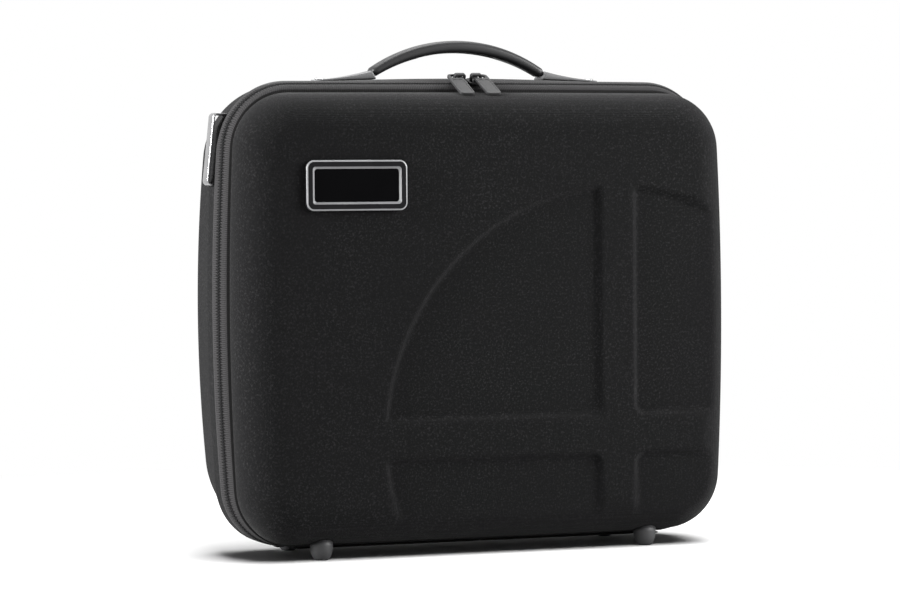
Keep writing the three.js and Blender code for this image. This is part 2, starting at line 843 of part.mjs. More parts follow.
function makeHandleCore() {
  const half = endWidth / 2;
  const side = slab(endProfile().shape, handleDepth - half, handleDepth + half);
  const plan = new THREE.Shape();
  plan.moveTo(0, -half);
  plan.absarc(endTip - endTipRound, -half + endTipRound, endTipRound, -Math.PI / 2, 0);
  plan.absarc(endTip - endTipRound, half - endTipRound, endTipRound, 0, Math.PI / 2);
  plan.lineTo(0, half);
  plan.closePath();
  const upright = new THREE.ExtrudeGeometry(plan, {
    depth: handleRadius,
    bevelEnabled: false,
    curveSegments: smallArcSteps,
  });
  upright.translate(0, handleDepth, shellTop - handleRadius / 2);
  const right = common(side, upright);
  const reach = gripEndAngle * degrees + overrun / handleRadius;
  const strap = archStrip(reach, coreWidth, archMiddle, coreThickness, gripSteps);
  const whole = join([right, mirrored(right), strap]);
  return cut(whole, [rivetHole(rivetX), rivetHole(-rivetX)]);
}

// Rivets

const rivetSeatHeight = endTopAt(rivetX + rivetHeadRadius);
const backingTop = topAt(bodyForm, rivetX + backingLength / 2) - wall - rearDraft - gap;
const backingBottom = backingTop - backingThickness;

function turned(profile, steps) {
  const points = profile.map(([radius, height]) => new THREE.Vector2(radius, height));
  const geometry = new THREE.LatheGeometry(points, steps);
  geometry.rotateX(Math.PI / 2);
  return geometry;
}

function makeRivet(x) {
  const tailTop = backingBottom - gap;
  const head = rivetSeatHeight + gap;
  const profile = [
    [0, tailTop - rivetTailHeight],
    [rivetTailRadius, tailTop - rivetTailHeight],
    [rivetTailRadius, tailTop],
    [rivetRadius, tailTop],
    [rivetRadius, head],
    [rivetHeadRadius, head],
    [rivetHeadRadius, head + rivetHeadHeight / 3],
    [rivetHeadRadius * Math.cos(Math.PI / 4), head + rivetHeadHeight * Math.sin(Math.PI / 4)],
    [0, head + rivetHeadHeight],
  ];
  const geometry = turned(profile, rivetSides);
  geometry.translate(x, handleDepth, 0);
  return geometry;
}

// The hole for a rivet's shank, with the flat seat for its head.
function rivetHole(x) {
  const radius = rivetRadius + gap;
  const seat = rivetHeadRadius + rivetSeat;
  const low = backingBottom - overrun;
  const high = handleCrown;
  const profile = [
    [0, low],
    [radius, low],
    [radius, rivetSeatHeight],
    [seat, rivetSeatHeight],
    [seat, high],
    [0, high],
  ];
  const geometry = turned(profile, rivetSides);
  geometry.translate(x, handleDepth, 0);
  return geometry;
}

function makeBacking(x) {
  const plate = block(backingLength, backingWidth, backingThickness, x, handleDepth,
    backingTop - backingThickness / 2);
  return cut(plate, [rivetHole(x)]);
}

function backingNotch(x) {
  const low = backingBottom - gap - rivetTailHeight - notchClear;
  return block(
    backingLength + 2 * notchClear,
    backingWidth + 2 * notchClear,
    shellTop - low,
    x,
    handleDepth,
    (shellTop + low) / 2,
  );
}

function makeRearShell() {
  const rings = [...rearInside(0).reverse(), ...softRim(rimDepth, rimForm, 1), ...rearOutside(0)];
  const slots = [...loopSlots(), loopHollowCutter()];
  return cut(loft(rings, flatOutline), [
    ...slots, ...slots.map(mirrored), rivetHole(rivetX), rivetHole(-rivetX)]);
}

// Foam

function makeLidFoam() {
  const inside = frontInside(foamFit);
  const edge = wall + foamFit;
  return loft([
    ring(lidFoamBack, frontForm, edge + lidFoamEdge),
    ring(lidFoamBack - lidFoamEdge, frontForm, edge),
    ...inside.slice(1),
  ], flatOutline);
}

const foamSide = bodyForm.side - wall - pocketEdge;
const microphoneX = -foamSide + thumbRadius + microphoneWidth / 2;
const mountX = foamSide - mountWidth / 2;
const microphoneZ = microphoneLow + microphoneLength / 2;
const mountZ = microphoneLow + microphoneLength - mountHeight / 2;
const cableZ = microphoneLow + cableHeight / 2;

function makeBaseFoam() {
  const rings = rearInside(foamFit);
  rings[0] = ring(baseFoamFront, formAt(baseFoamFront), wall + foamFit);
  const floor = caseDepth - backWall - pocketFloor;
  const mouth = baseFoamFront - overrun;
  const pockets = [
    slab(roundedRectangle(microphoneWidth, microphoneLength, microphoneWidth / 2 - gap, microphoneX,
      microphoneZ), mouth, floor),
    slab(roundedRectangle(mountWidth, mountHeight, pocketCorner, mountX, mountZ), mouth, floor),
    slab(roundedRectangle(mountWidth, cableHeight, pocketCorner, mountX, cableZ), mouth, floor),
    slab(roundedRectangle(microphoneWidth + 2 * thumbRadius, 2 * thumbRadius, thumbRadius - gap,
      microphoneX, microphoneZ), mouth, floor - thumbShallow),
  ];
  const notch = loopNotch();
  return cut(loft(rings, flatOutline), [
    ...pockets, notch, mirrored(notch), backingNotch(rivetX), backingNotch(-rivetX)]);
}

// Zip tapes

// A strip that follows the outlines over a run of their points: each point of its section is a
// depth and a distance out from the outline there.
function followOutline(section, fromStep, toStep) {
  const tracks = section.map(([depth, out]) => outline(formAt(depth), -out));
  const rings = [];
  for (let step = fromStep; step <= toStep; step++) {
    rings.push(section.map(([depth], i) => {
      const track = tracks[i];
      const point = track[(step + track.length) % track.length];
      return new THREE.Vector3(point.x, depth, point.y);
    }));
  }
  return loft(rings, section.map(([depth, out]) => new THREE.Vector2(depth, out)));
}

// A place on the zip's sloping middle, by its distance across the slope and out of it, as a depth
// and a distance out from the outline at that depth.
function onSlope(across, out) {
  const lean = sliderTilt * degrees;
  return [chainDepth + across * Math.cos(lean) - out * Math.sin(lean), out / Math.cos(lean)];
}

// Half of the zip: the tape from a shell's rim, and the thick coiled edge beside the slot.
function makeTape(rim, towards) {
  const start = rim + towards * gap;
  const bend = chainDepth - towards * shoulderHalf;
  const half = tapeThickness / 2;
  const deep = coilThickness - half;
  const slot = chainGap / 2;
  const profile = [
    [slot + coilTaper, half],
    [slot, half - coilTaper],
    [slot, -deep],
    [slot + coilReach / 2, -deep - coilCrown],
    [slot + coilReach, -deep],
    [slot + coilReach + coilTaper, -half],
  ];
  const edge = profile.map(([across, out]) => onSlope(-towards * across, out));
  const section = [[start, half], [bend, half], ...edge, [bend, -half], [start, -half]];
  const first = bottomSteps + tapeTurn;
  return followOutline(section, first, flatOutline.length - first);
}

// Stops at the two lower ends of the chain, on the rear tape's side.
const tapeEnd = outline(chainForm, 0)[bottomSteps + tapeTurn];
const stopEnd = tapeEnd.x - stopClear - stopLength;
const hingeHalf = stopEnd - hingeClear;

function makeStop() {
  const from = chainDepth + chainGap / 2;
  const depth = rimDepth - gap - from;
  const shape = roundedRectangle(stopLength, stopHeight, stopHeight / 3,
    stopEnd + stopLength / 2, chainForm.bottom + stopHeight / 2 - coilThickness / 2);
  return slab(shape, from, from + depth);
}

// Fabric hinge: one half laps under each shell, and they part where the fabric folds.
function makeHinge(rim, towards) {
  const fold = chainDepth - towards * hingeSlit / 2;
  const lap = rim - towards * hingeLap;
  const high = seamForm.bottom - gap;
  const shape = new THREE.Shape();
  shape.moveTo(-hingeHalf, high - hingeThickness);
  shape.lineTo(hingeHalf, high - hingeThickness);
  shape.lineTo(hingeHalf, high);
  shape.lineTo(-hingeHalf, high);
  shape.closePath();
  return slab(shape, Math.min(fold, lap), Math.max(fold, lap));
}

// Feet: short rubber domes, their tops shaped to the shell they are fixed to.
function makeFoot(x, depth, shellRings) {
  const profile = [[0, 0], [footTipRadius, 0]];
  for (let i = 1; i <= smallArcSteps; i++) {
    const angle = (i / smallArcSteps) * Math.PI / 2;
    profile.push([
      footTipRadius + (footRadius - footTipRadius) * Math.sin(angle),
      frontBottom * (1 - Math.cos(angle)),
    ]);
  }
  profile.push([footRadius, footHeight], [0, footHeight]);
  const dome = turned(profile, footSides);
  dome.translate(x, depth, 0);
  return cut(dome, [loft(shellRings, flatOutline)]);
}

// Badge

function badgeRing(depth, inset) {
  const radius = Math.max(badgeCorner - inset, gap);
  const shape = roundedRectangle(badgeWidth - 2 * inset, badgeHeight - 2 * inset, radius, badgeX, badgeZ);
  const points = shape.extractPoints(smallArcSteps).shape;
  return points.map((point) => new THREE.Vector3(point.x, depth, point.y));
}

const badgeFlat = () => badgeRing(0, 0).map((point) => new THREE.Vector2(point.x, point.z));
const badgePanelInset = badgeOuterBevel + badgeBezel + badgeInnerBevel;

function makeBadgeFrame() {
  const body = loft([
    badgeRing(-gap, 0),
    badgeRing(-badgeProud + badgeOuterBevel, 0),
    badgeRing(-badgeProud + badgeOuterBevel * softenedShare, badgeOuterBevel * softenedShare),
    badgeRing(-badgeProud, badgeOuterBevel),
  ], badgeFlat());
  const hollow = loft([
    badgeRing(-gap - badgeFloor, badgePanelInset),
    badgeRing(-badgeProud + badgeInsertSunk, badgePanelInset),
    badgeRing(-badgeProud, badgeOuterBevel + badgeBezel),
    badgeRing(-badgeProud - overrun, badgeOuterBevel + badgeBezel),
  ], badgeFlat());
  return cut(body, [hollow]);
}

function makeBadgeInsert() {
  return loft([
    badgeRing(-gap - badgeFloor - gap, badgePanelInset + gap),
    badgeRing(-badgeProud + badgeInsertSunk + gap / 2, badgePanelInset + gap),
    badgeRing(-badgeProud + badgeInsertSunk, badgePanelInset + 2 * gap),
  ], badgeFlat());
}

// Sliders and pulls, drawn with X along the chain, Y across it to the back and Z out of the tape.

function plan(shape, from, thickness, bevel) {
  const geometry = new THREE.ExtrudeGeometry(shape, {
    depth: thickness - 2 * bevel,
    bevelEnabled: bevel > 0,
    bevelThickness: bevel,
    bevelSize: bevel,
    bevelOffset: -bevel,
    bevelSegments: 1,
    curveSegments: tinyArcSteps,
  });
  geometry.translate(0, 0, from + bevel);
  return geometry;
}

function sliderShape() {
  const shoulder = sliderShoulder / 2;
  const tail = sliderTail / 2;
  const shape = new THREE.Shape();
  shape.moveTo(0, -shoulder + sliderRound);
  shape.quadraticCurveTo(0, -shoulder, sliderRound, -shoulder);
  shape.lineTo(sliderLength / 2, -tail);
  shape.absarc(sliderLength - sliderRound, -tail + sliderRound, sliderRound, -Math.PI / 2, 0);
  shape.absarc(sliderLength - sliderRound, tail - sliderRound, sliderRound, 0, Math.PI / 2);
  shape.lineTo(sliderLength / 2, tail);
  shape.lineTo(sliderRound, shoulder);
  shape.quadraticCurveTo(0, shoulder, 0, shoulder - sliderRound);
  shape.closePath();
  return shape;
}

function bridgeShape() {
  const half = bridgeLength / 2;
  const inner = half - bridgeThickness;
  const innerRound = Math.max(bridgeRound - bridgeThickness, gap);
  const shape = new THREE.Shape();
  shape.moveTo(-half, -sliderPlate / 2);
  shape.lineTo(-inner, -sliderPlate / 2);
  shape.absarc(-inner + innerRound, bridgeRise - bridgeThickness - innerRound, innerRound,
    Math.PI, Math.PI / 2, true);
  shape.absarc(inner - innerRound, bridgeRise - bridgeThickness - innerRound, innerRound,
    Math.PI / 2, 0, true);
  shape.lineTo(inner, -sliderPlate / 2);
  shape.lineTo(half, -sliderPlate / 2);
  shape.absarc(half - bridgeRound, bridgeRise - bridgeRound, bridgeRound, 0, Math.PI / 2);
  shape.absarc(-half + bridgeRound, bridgeRise - bridgeRound, bridgeRound, Math.PI / 2, Math.PI);
  shape.closePath();
  return shape;
}

const sliderTop = sliderChannel / 2 + sliderPlate;
const bridgeMiddle = bridgeInset + bridgeLength / 2;
const bridgeLeg = bridgeInset + bridgeLength - bridgeThickness / 2;

function makeSlider() {
  const bevel = sliderPlate / 4;
  const top = plan(sliderShape(), sliderChannel / 2, sliderPlate, bevel);
  const bottom = mirroredDown(top);
  const post = block(sliderPostLength, sliderPostThickness, sliderChannel + sliderPlate,
    sliderPostInset + sliderPostLength / 2, 0, 0);
  const flanges = [];
  for (const across of [-1, 1]) {
    for (const up of [-1, 1]) {
      flanges.push(block(
        sliderLength - 2 * sliderRound,
        sliderFlange,
        sliderFlangeDrop + sliderPlate / 2,
        sliderLength / 2,
        across * (sliderTail / 2 - sliderFlange / 2),
        up * (sliderChannel / 2 - (sliderFlangeDrop - sliderPlate / 2) / 2),
      ));
    }
  }
  const bridge = slab(bridgeShape(), -bridgeWidth / 2, bridgeWidth / 2);
  bridge.translate(bridgeMiddle, 0, sliderTop);
  const whole = join([top, bottom, post, bridge, ...flanges]);
  whole.translate(0, 0, -sliderSink);
  return whole;
}

function mirroredDown(geometry) {
  const copy = geometry.clone();
  copy.rotateX(Math.PI);
  return copy;
}

// A pull, drawn about the leg of the bridge that passes through its eye.
function makePull() {
  const half = pullWidth / 2;
  const end = pullHead - pullLength;
  const shape = new THREE.Shape();
  shape.moveTo(-half, end + pullEndCut);
  shape.quadraticCurveTo(-half, end, -half + pullEndCut, end);
  shape.lineTo(half - pullEndCut, end);
  shape.quadraticCurveTo(half, end, half, end + pullEndCut);
  shape.absarc(half - pullHeadRound, pullHead - pullHeadRound, pullHeadRound, 0, Math.PI / 2);
  shape.absarc(-half + pullHeadRound, pullHead - pullHeadRound, pullHeadRound, Math.PI / 2, Math.PI);
  shape.closePath();
  const body = plan(shape, 0, pullThickness, pullThickness / 5);
  const eye = plan(roundedRectangle(pullEyeWidth, pullEyeLength, pullRim, 0, 0), -overrun,
    pullThickness + 2 * overrun, 0);
  const panelTop = -pullPanelStart;
  const panelEnd = end + pullRim;
  const panelShape = roundedRectangle(pullWidth - 2 * pullRim, panelTop - panelEnd,
    pullEndCut - pullRim / 2, 0, (panelTop + panelEnd) / 2);
  const panel = plan(panelShape, pullThickness - pullPanelDepth, overrun, 0);
  return cut(body, [eye, panel]);
}

// The case

function named(name, geometry, look) {
  const mesh = new THREE.Mesh(geometry, look);
  mesh.name = name;
  return mesh;
}

const model = new THREE.Group();
model.name = 'microphone_case';

const upright = new THREE.Group();
upright.position.y = (badgeProud - caseDepth) / 2;
model.add(upright);

const grip = makeGrip();
const loop = makeLoop();
const loopPlate = makeLoopPlate();
const stop = makeStop();
const backing = makeBacking(rivetX);
const rivet = makeRivet(rivetX);
const frontFoot = makeFoot(footX, footFrontDepth, [
  ring(seamDepth, seamForm, -gap),
  ...frontOutside(gap),
]);
const rearFoot = makeFoot(footX, footRearDepth, rearOutside(gap));

upright.add(
  named('front_shell', makeFrontShell(), wovenBlack()),
  named('rear_shell', makeRearShell(), wovenBlack()),
  named('lid_foam_pad', makeLidFoam(), foamGrey()),
  named('base_foam_insert', makeBaseFoam(), foamGrey()),
  named('front_zip_tape', makeTape(seamDepth, 1), tapeBlack()),
  named('rear_zip_tape', makeTape(rimDepth, -1), tapeBlack()),
  named('zip_stop_right', stop, satinMetal()),
  named('zip_stop_left', mirrored(stop), satinMetal()),
  named('hinge_strip_front', makeHinge(seamDepth, 1), tapeBlack()),
  named('hinge_strip_rear', makeHinge(rimDepth, -1), tapeBlack()),
  named('handle_core', makeHandleCore(), endGrey()),
  named('handle_grip', grip, gripRubber()),
  named('handle_rivet_right', rivet, brightMetal()),
  named('handle_rivet_left', mirrored(rivet), brightMetal()),
  named('handle_backing_plate_right', backing, satinMetal()),
  named('handle_backing_plate_left', mirrored(backing), satinMetal()),
  named('strap_loop_right', loop, brightMetal()),
  named('strap_loop_left', mirrored(loop), brightMetal()),
  named('strap_loop_plate_right', loopPlate, satinMetal()),
  named('strap_loop_plate_left', mirrored(loopPlate), satinMetal()),
  named('badge_frame', makeBadgeFrame(), frameBlack()),
  named('badge_insert', makeBadgeInsert(), glossBlack()),
  named('foot_front_right', frontFoot, rubberBlack()),
  named('foot_front_left', mirrored(frontFoot), rubberBlack()),
  named('foot_rear_right', rearFoot, rubberBlack()),
  named('foot_rear_left', mirrored(rearFoot), rubberBlack()),
);

// The sliders ride in groups that lean with the tape, and each pull hangs on its bridge's outer leg.
const slider = makeSlider();
const pull = makePull();

for (const [side, toRight] of [['left', -1], ['right', 1]]) {
  const chain = new THREE.Group();
  chain.position.set(slidersMeet + toRight * gap, chainDepth, topAt(chainForm, slidersMeet));
  chain.rotation.x = sliderTilt * degrees;
  chain.add(named(`slider_${side}`, toRight > 0 ? slider : mirrored(slider), satinMetal()));

  const hang = new THREE.Group();
  hang.position.set(toRight * bridgeLeg, 0, sliderTop - sliderSink + pullLift);
  hang.rotation.z = pullSwing[side] * degrees;
  const lean = new THREE.Group();
  lean.rotation.x = (pullTilt - sliderTilt) * degrees;
  lean.add(named(`zip_pull_${side}`, pull.clone(), satinMetal()));
  hang.add(lean);
  chain.add(hang);
  upright.add(chain);
}

export default model;
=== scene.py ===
"""A zipped, moulded microphone case: CAD solids dressed with smooth shells, cloth, zip and metal.

Every surface here is a function of two parameters, worked out as whole arrays in metres. A level
of the case is a closed outline of ten arcs that touch one another, and a place on it is a number
from 0 at the middle of the lower edge, through 5 at the crown, to 10 back at the start.
"""

import math

import bpy
import numpy as np
from bpy.props import FloatProperty, FloatVectorProperty, PointerProperty
from mathutils import Matrix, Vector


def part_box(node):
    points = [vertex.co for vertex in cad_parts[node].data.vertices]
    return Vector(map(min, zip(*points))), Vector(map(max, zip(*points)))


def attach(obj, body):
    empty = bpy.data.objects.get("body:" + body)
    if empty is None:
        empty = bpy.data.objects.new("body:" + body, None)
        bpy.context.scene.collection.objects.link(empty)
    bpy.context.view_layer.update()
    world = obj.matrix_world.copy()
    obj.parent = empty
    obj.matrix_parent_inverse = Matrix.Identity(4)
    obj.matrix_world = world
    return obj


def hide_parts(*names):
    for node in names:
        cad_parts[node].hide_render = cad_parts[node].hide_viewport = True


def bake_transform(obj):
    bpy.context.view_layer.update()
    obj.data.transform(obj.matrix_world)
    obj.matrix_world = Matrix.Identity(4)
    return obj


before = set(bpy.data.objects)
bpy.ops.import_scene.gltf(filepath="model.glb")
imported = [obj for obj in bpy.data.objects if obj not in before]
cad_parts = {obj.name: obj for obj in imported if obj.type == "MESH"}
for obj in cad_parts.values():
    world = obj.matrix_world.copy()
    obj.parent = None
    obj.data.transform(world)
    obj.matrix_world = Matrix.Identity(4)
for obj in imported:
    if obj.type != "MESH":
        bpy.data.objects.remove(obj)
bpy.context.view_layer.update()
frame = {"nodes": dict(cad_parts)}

bl_info = {
    "name": "Microphone case",
    "version": (1, 0, 0),
    "blender": (4, 5, 0),
    "location": "3D View > Sidebar > Case",
    "description": "Builds a zipped, moulded case for a studio microphone on its packed frame",
    "category": "Object",
}

TURN = 2 * math.pi
HAIR = 0.0003  # metres between pieces that touch

# The camera that was fitted to the photograph, for an image 900 wide
PIXELS_WIDE = 900
SHIFT_RIGHT, SHIFT_UP = 18, 35.9
AZIMUTH, ELEVATION, ROLL = -20.78, 2.35, -0.47
DISTANCE = 2.277
AIM = (0, 0, 0.15)
ASIDE = (0.0445, 0.0535, 0.005)


# Sizes and colours


def length(name, default, description):
    return FloatProperty(
        name=name, default=default, description=description, unit="LENGTH", precision=5
    )


def angle(name, default, description):
    return FloatProperty(
        name=name,
        default=math.radians(default),
        description=description,
        unit="ROTATION",
        subtype="ANGLE",
    )


def number(name, default, description):
    return FloatProperty(name=name, default=default, description=description)


def colour(name, default, description):
    return FloatVectorProperty(
        name=name,
        default=default,
        description=description,
        size=3,
        subtype="COLOR",
        min=0,
        max=1,
    )


class ShellSizes(bpy.types.PropertyGroup):
    """Levels and walls of the two moulded shells"""

    front_width: length("Front width", 0.3468, "Front shell at its widest")
    front_top: length("Front top", 0.3039, "Top of the front shell")
    front_bottom: length("Front bottom", 0.0098, "Underside of the front shell")
    widest_level: length("Widest level", 0.16, "Height where the bowed sides are widest")
    side_radius: length("Side radius", 2.1, "Radius of the front shell's bowed sides")
    edge_radius: length("Edge radius", 30, "Radius of the edges that are all but straight")
    corner_radius: length("Corner radius", 0.038, "Corner radius of the front shell")
    seam_in: length("Seam in", 0.0026, "How far the seam lies inside the front's sides")
    bottom_drop: length("Bottom drop", 0.0018, "How far the lower edge drops at the seam")
    chain_out: length("Chain out", 0.0051, "From the seam out to the chain at the sides")
    chain_up: length("Chain up", 0.0058, "From the seam up to the chain at the top")
    chain_side_radius: length("Chain side radius", 1.5, "Radius of the chain's bowed sides")
    chain_top_radius: length("Chain top radius", 20, "Radius of the chain's top edge")
    chain_corner: length("Chain corner", 0.044, "Upper corner radius of the chain")
    rim_out: length("Rim out", 0.0021, "From the chain out to the rear rim at the sides")
    rim_up: length("Rim up", 0.0032, "From the chain up to the rear rim at the top")
    shoulder: length("Shoulder", 0.0046, "Half of the zip's sloping middle")
    slope: angle("Slope", 24, "Lean of the zip's sloping middle")
    rim_top_radius: length("Rim top radius", 3, "Radius of the rear rim's top edge")
    rim_corner: length("Rim corner", 0.049, "Upper corner radius of the rear rim")
    body_out: length("Body out", 0.0009, "From the rear rim out to the widest girth")
    body_up: length("Body up", 0.0012, "From the rear rim up to the girth")
    body_top_radius: length("Body top radius", 2.25, "Radius of the girth's top edge")
    body_corner: length("Body corner", 0.051, "Upper corner radius of the girth")
    back_corner: length("Back corner", 0.052, "Upper corner radius of the back")
    back_low_corner: length("Back low corner", 0.058, "Lower corner radius of the back")
    back_side_radius: length("Back side radius", 1.08, "Radius of the back's bowed sides")
    rear_low_corner: length("Rear low corner", 0.04, "Lower corner radius of the rear shell")
    seam_depth: length("Seam depth", 0.034, "Rim of the front shell")
    chain_depth: length("Chain depth", 0.042, "Middle of the zip")
    rim_depth: length("Rim depth", 0.049, "Rim of the rear shell")
    girth_depth: length("Girth depth", 0.058, "Where the rear shell is widest")
    rear_round_start: length("Rear round start", 0.077, "Where the back begins to round")
    rear_round: length("Rear round", 0.033, "Radius of the back's rounded edge")
    rear_draft: length("Rear draft", 0.0006, "Drawn in between the girth and the rounding")
    front_round: length("Front round", 0.027, "Radius of the front's rounded edge")
    wall: length("Wall", 0.005, "Thickness of the moulded walls")
    face_wall: length("Face wall", 0.0065, "Thickness of the front wall")
    inner_round_front: length("Inner round front", 0.018, "Inside radius in the front shell")
    inner_round_rear: length("Inner round rear", 0.024, "Inside radius in the rear shell")
    rim_soft: length("Rim soft", 0.0022, "How far the front rim's outer edge is rounded off")
    rear_rim_soft: length("Rear rim soft", 0.001, "The same for the rear rim")
    middle: length("Middle", 0.0534, "Depth of the frame's middle plane")
    relief_x: length("Relief X", 0.088, "Crossing of the bands, beside the middle")
    relief_z: length("Relief Z", 0.0768, "Crossing of the bands, above the ground")
    relief_radius: length("Relief radius", 0.164, "Radius of the sunk ring of quarters")
    relief_depth: length("Relief depth", 0.0033, "How deep the quarters are sunk")
    relief_slope: length("Relief slope", 0.0056, "Width of their sloping edge")
    upright_band: length("Upright band", 0.0256, "Width of the upright band")
    level_band: length("Level band", 0.0266, "Width of the level band")
    relief_corner: length("Relief corner", 0.007, "Corner radius beside the crossing")
    hollow_low: length("Hollow low", 0.2444, "Lower leg of the strap loops")
    hollow_high: length("Hollow high", 0.2904, "Upper leg of the strap loops")
    hollow: length("Hollow", 0.0023, "Depth of the hollow under each strap loop")
    hollow_radius: length("Hollow radius", 0.05, "Radius of that hollow")


class ZipSizes(bpy.types.PropertyGroup):
    """Tapes, chain, hinge cloth, sliders and pulls"""

    tape: length("Tape", 0.001, "Thickness of the tape")
    coil_reach: length("Coil reach", 0.0019, "Width of the thick edge beside the slot")
    coil_taper: length("Coil taper", 0.0004, "Over which it thins to the tape")
    coil: length("Coil", 0.0019, "Thickness of that edge, all of it on the inside")
    slot: length("Slot", 0.0007, "Between the two edges")
    groove: length("Groove", 0.0016, "How deep the tape dips beside the front shell's rim")
    # Painted shadow: width of the near-black band on the tape beside the front shell, which stands
    # in for the shade in the gap there.
    seam_shade: length("Edging", 0.0019, "Black edging of the tape beside the front shell")
    stitch: length("Stitch", 0.0019, "Half of the dark stitching along the slot")
    tooth_pitch: length("Tooth pitch", 0.0019, "From tooth to tooth on one tape")
    rib_pitch: length("Rib pitch", 0.0013, "From rib to rib across the tape")
    hinge_half: length("Hinge half", 0.1286, "Half of the hinge cloth's length")
    hinge_thick: length("Hinge thickness", 0.0009, "Thickness of the hinge cloth")
    hinge_lap: length("Hinge lap", 0.006, "Its lap under each shell")
    gap: length("Gap", 0.0003, "Between pieces that touch")


class HandleSizes(bpy.types.PropertyGroup):
    """Arched grip and the strap through it"""

    depth: length("Depth", 0.068, "Middle of the handle behind the front face")
    crown: length("Crown", 0.33975, "Height of its crown")
    radius: length("Radius", 0.111, "Outside of the arch")
    grip_thick: length("Grip thickness", 0.0086, "Grip, through the arch at its crown")
    grip_end_thick: length("Grip end thickness", 0.0064, "Grip, through the arch at its ends")
    grip_width: length("Grip width", 0.0125, "Grip, front to back")
    core_deep: length("Core depth", 0.0036, "From the outside of the arch in to the strap")
    grip_end: angle("Grip end", 34.5, "From the crown to each end of the grip")
    core_thick: length("Core thickness", 0.0026, "Strap inside the grip")
    core_width: length("Core width", 0.008, "Strap, front to back")
    slot_angle: angle("Slot angle", 16, "Reach of the slot under the grip")
    slot_width: length("Slot width", 0.005, "Slot, front to back")
    slot_depth: length("Slot depth", 0.002, "Depth of the slot")
    tip: length("Tip", 0.1025, "From the middle to the tip of each end")
    end_width: length("End width", 0.016, "End piece, front to back")
    tip_height: length("Tip height", 0.0012, "Thickness at the tip")
    tip_round: length("Tip round", 0.0079, "Corner radius of the tip")
    shoulder_drop: length("Shoulder drop", 0.0009, "Top of the end below the grip's")
    sag: length("Sag", 0.0022, "How far the end's top dips")
    rivet_x: length("Rivet X", 0.0968, "Rivets, beside the middle")
    rivet_head: length("Rivet head", 0.0034, "Radius of a rivet's head")
    rivet_height: length("Rivet height", 0.0011, "Height of a rivet's head")


class SliderSizes(bpy.types.PropertyGroup):
    """Zip sliders and their pulls"""

    meet: length("Meet", -0.0025, "Where the two sliders meet, beside the middle")
    long: length("Length", 0.0114, "Slider, along the chain")
    shoulder: length("Shoulder", 0.0104, "Its width where the chain parts")
    tail: length("Tail", 0.0082, "Its width at the other end")
    corner: length("Corner", 0.0022, "Its corner radius")
    plate: length("Plate", 0.0013, "Thickness of its plates")
    channel: length("Channel", 0.0039, "Between its plates")
    sink: length("Sink", 0.0004, "Its middle below the tape's, because of the coil inside")
    post: length("Post", 0.003, "Length of the wedge between the plates")
    post_thick: length("Post thickness", 0.0004, "Thickness of that wedge")
    flange: length("Flange", 0.0009, "Thickness of the turned-in edges")
    flange_drop: length("Flange drop", 0.0008, "How far they turn in")
    bridge_in: length("Bridge in", 0.0015, "From the slider's end to its bridge")
    bridge: length("Bridge", 0.008, "Length of the bridge")
    bridge_rise: length("Bridge rise", 0.005, "Height of the bridge")
    bridge_thick: length("Bridge thickness", 0.0014, "Bar of the bridge")
    bridge_width: length("Bridge width", 0.003, "Width of that bar")
    bridge_round: length("Bridge round", 0.0017, "Outside radius of its bends")
    pull_width: length("Pull width", 0.0103, "Pull")
    pull_long: length("Pull length", 0.0305, "Pull, from head to free end")
    pull_thick: length("Pull thickness", 0.0019, "Pull")
    pull_head: length("Pull head", 0.0034, "From the bridge's leg to the head")
    head_round: length("Head round", 0.003, "Corner radius of the head")
    end_cut: length("End cut", 0.0026, "Corners of the free end")
    pull_tilt: angle("Pull tilt", 26, "Lean of the pulls, which rest on the front shell")
    right_swing: angle("Right swing", 1, "How far the right pull hangs to the side")
    eye_width: length("Eye width", 0.0052, "Eye in the pull")
    eye_long: length("Eye length", 0.0048, "Eye in the pull")
    lift: length("Lift", 0.0013, "Between the slider's top and the pull")
    rim: length("Rim", 0.0013, "Raised rim round the pull's face")
    sunk: length("Sunk", 0.00035, "Depth of the sunk panel")
    panel: length("Panel", 0.0052, "From the bridge's leg to the sunk panel")


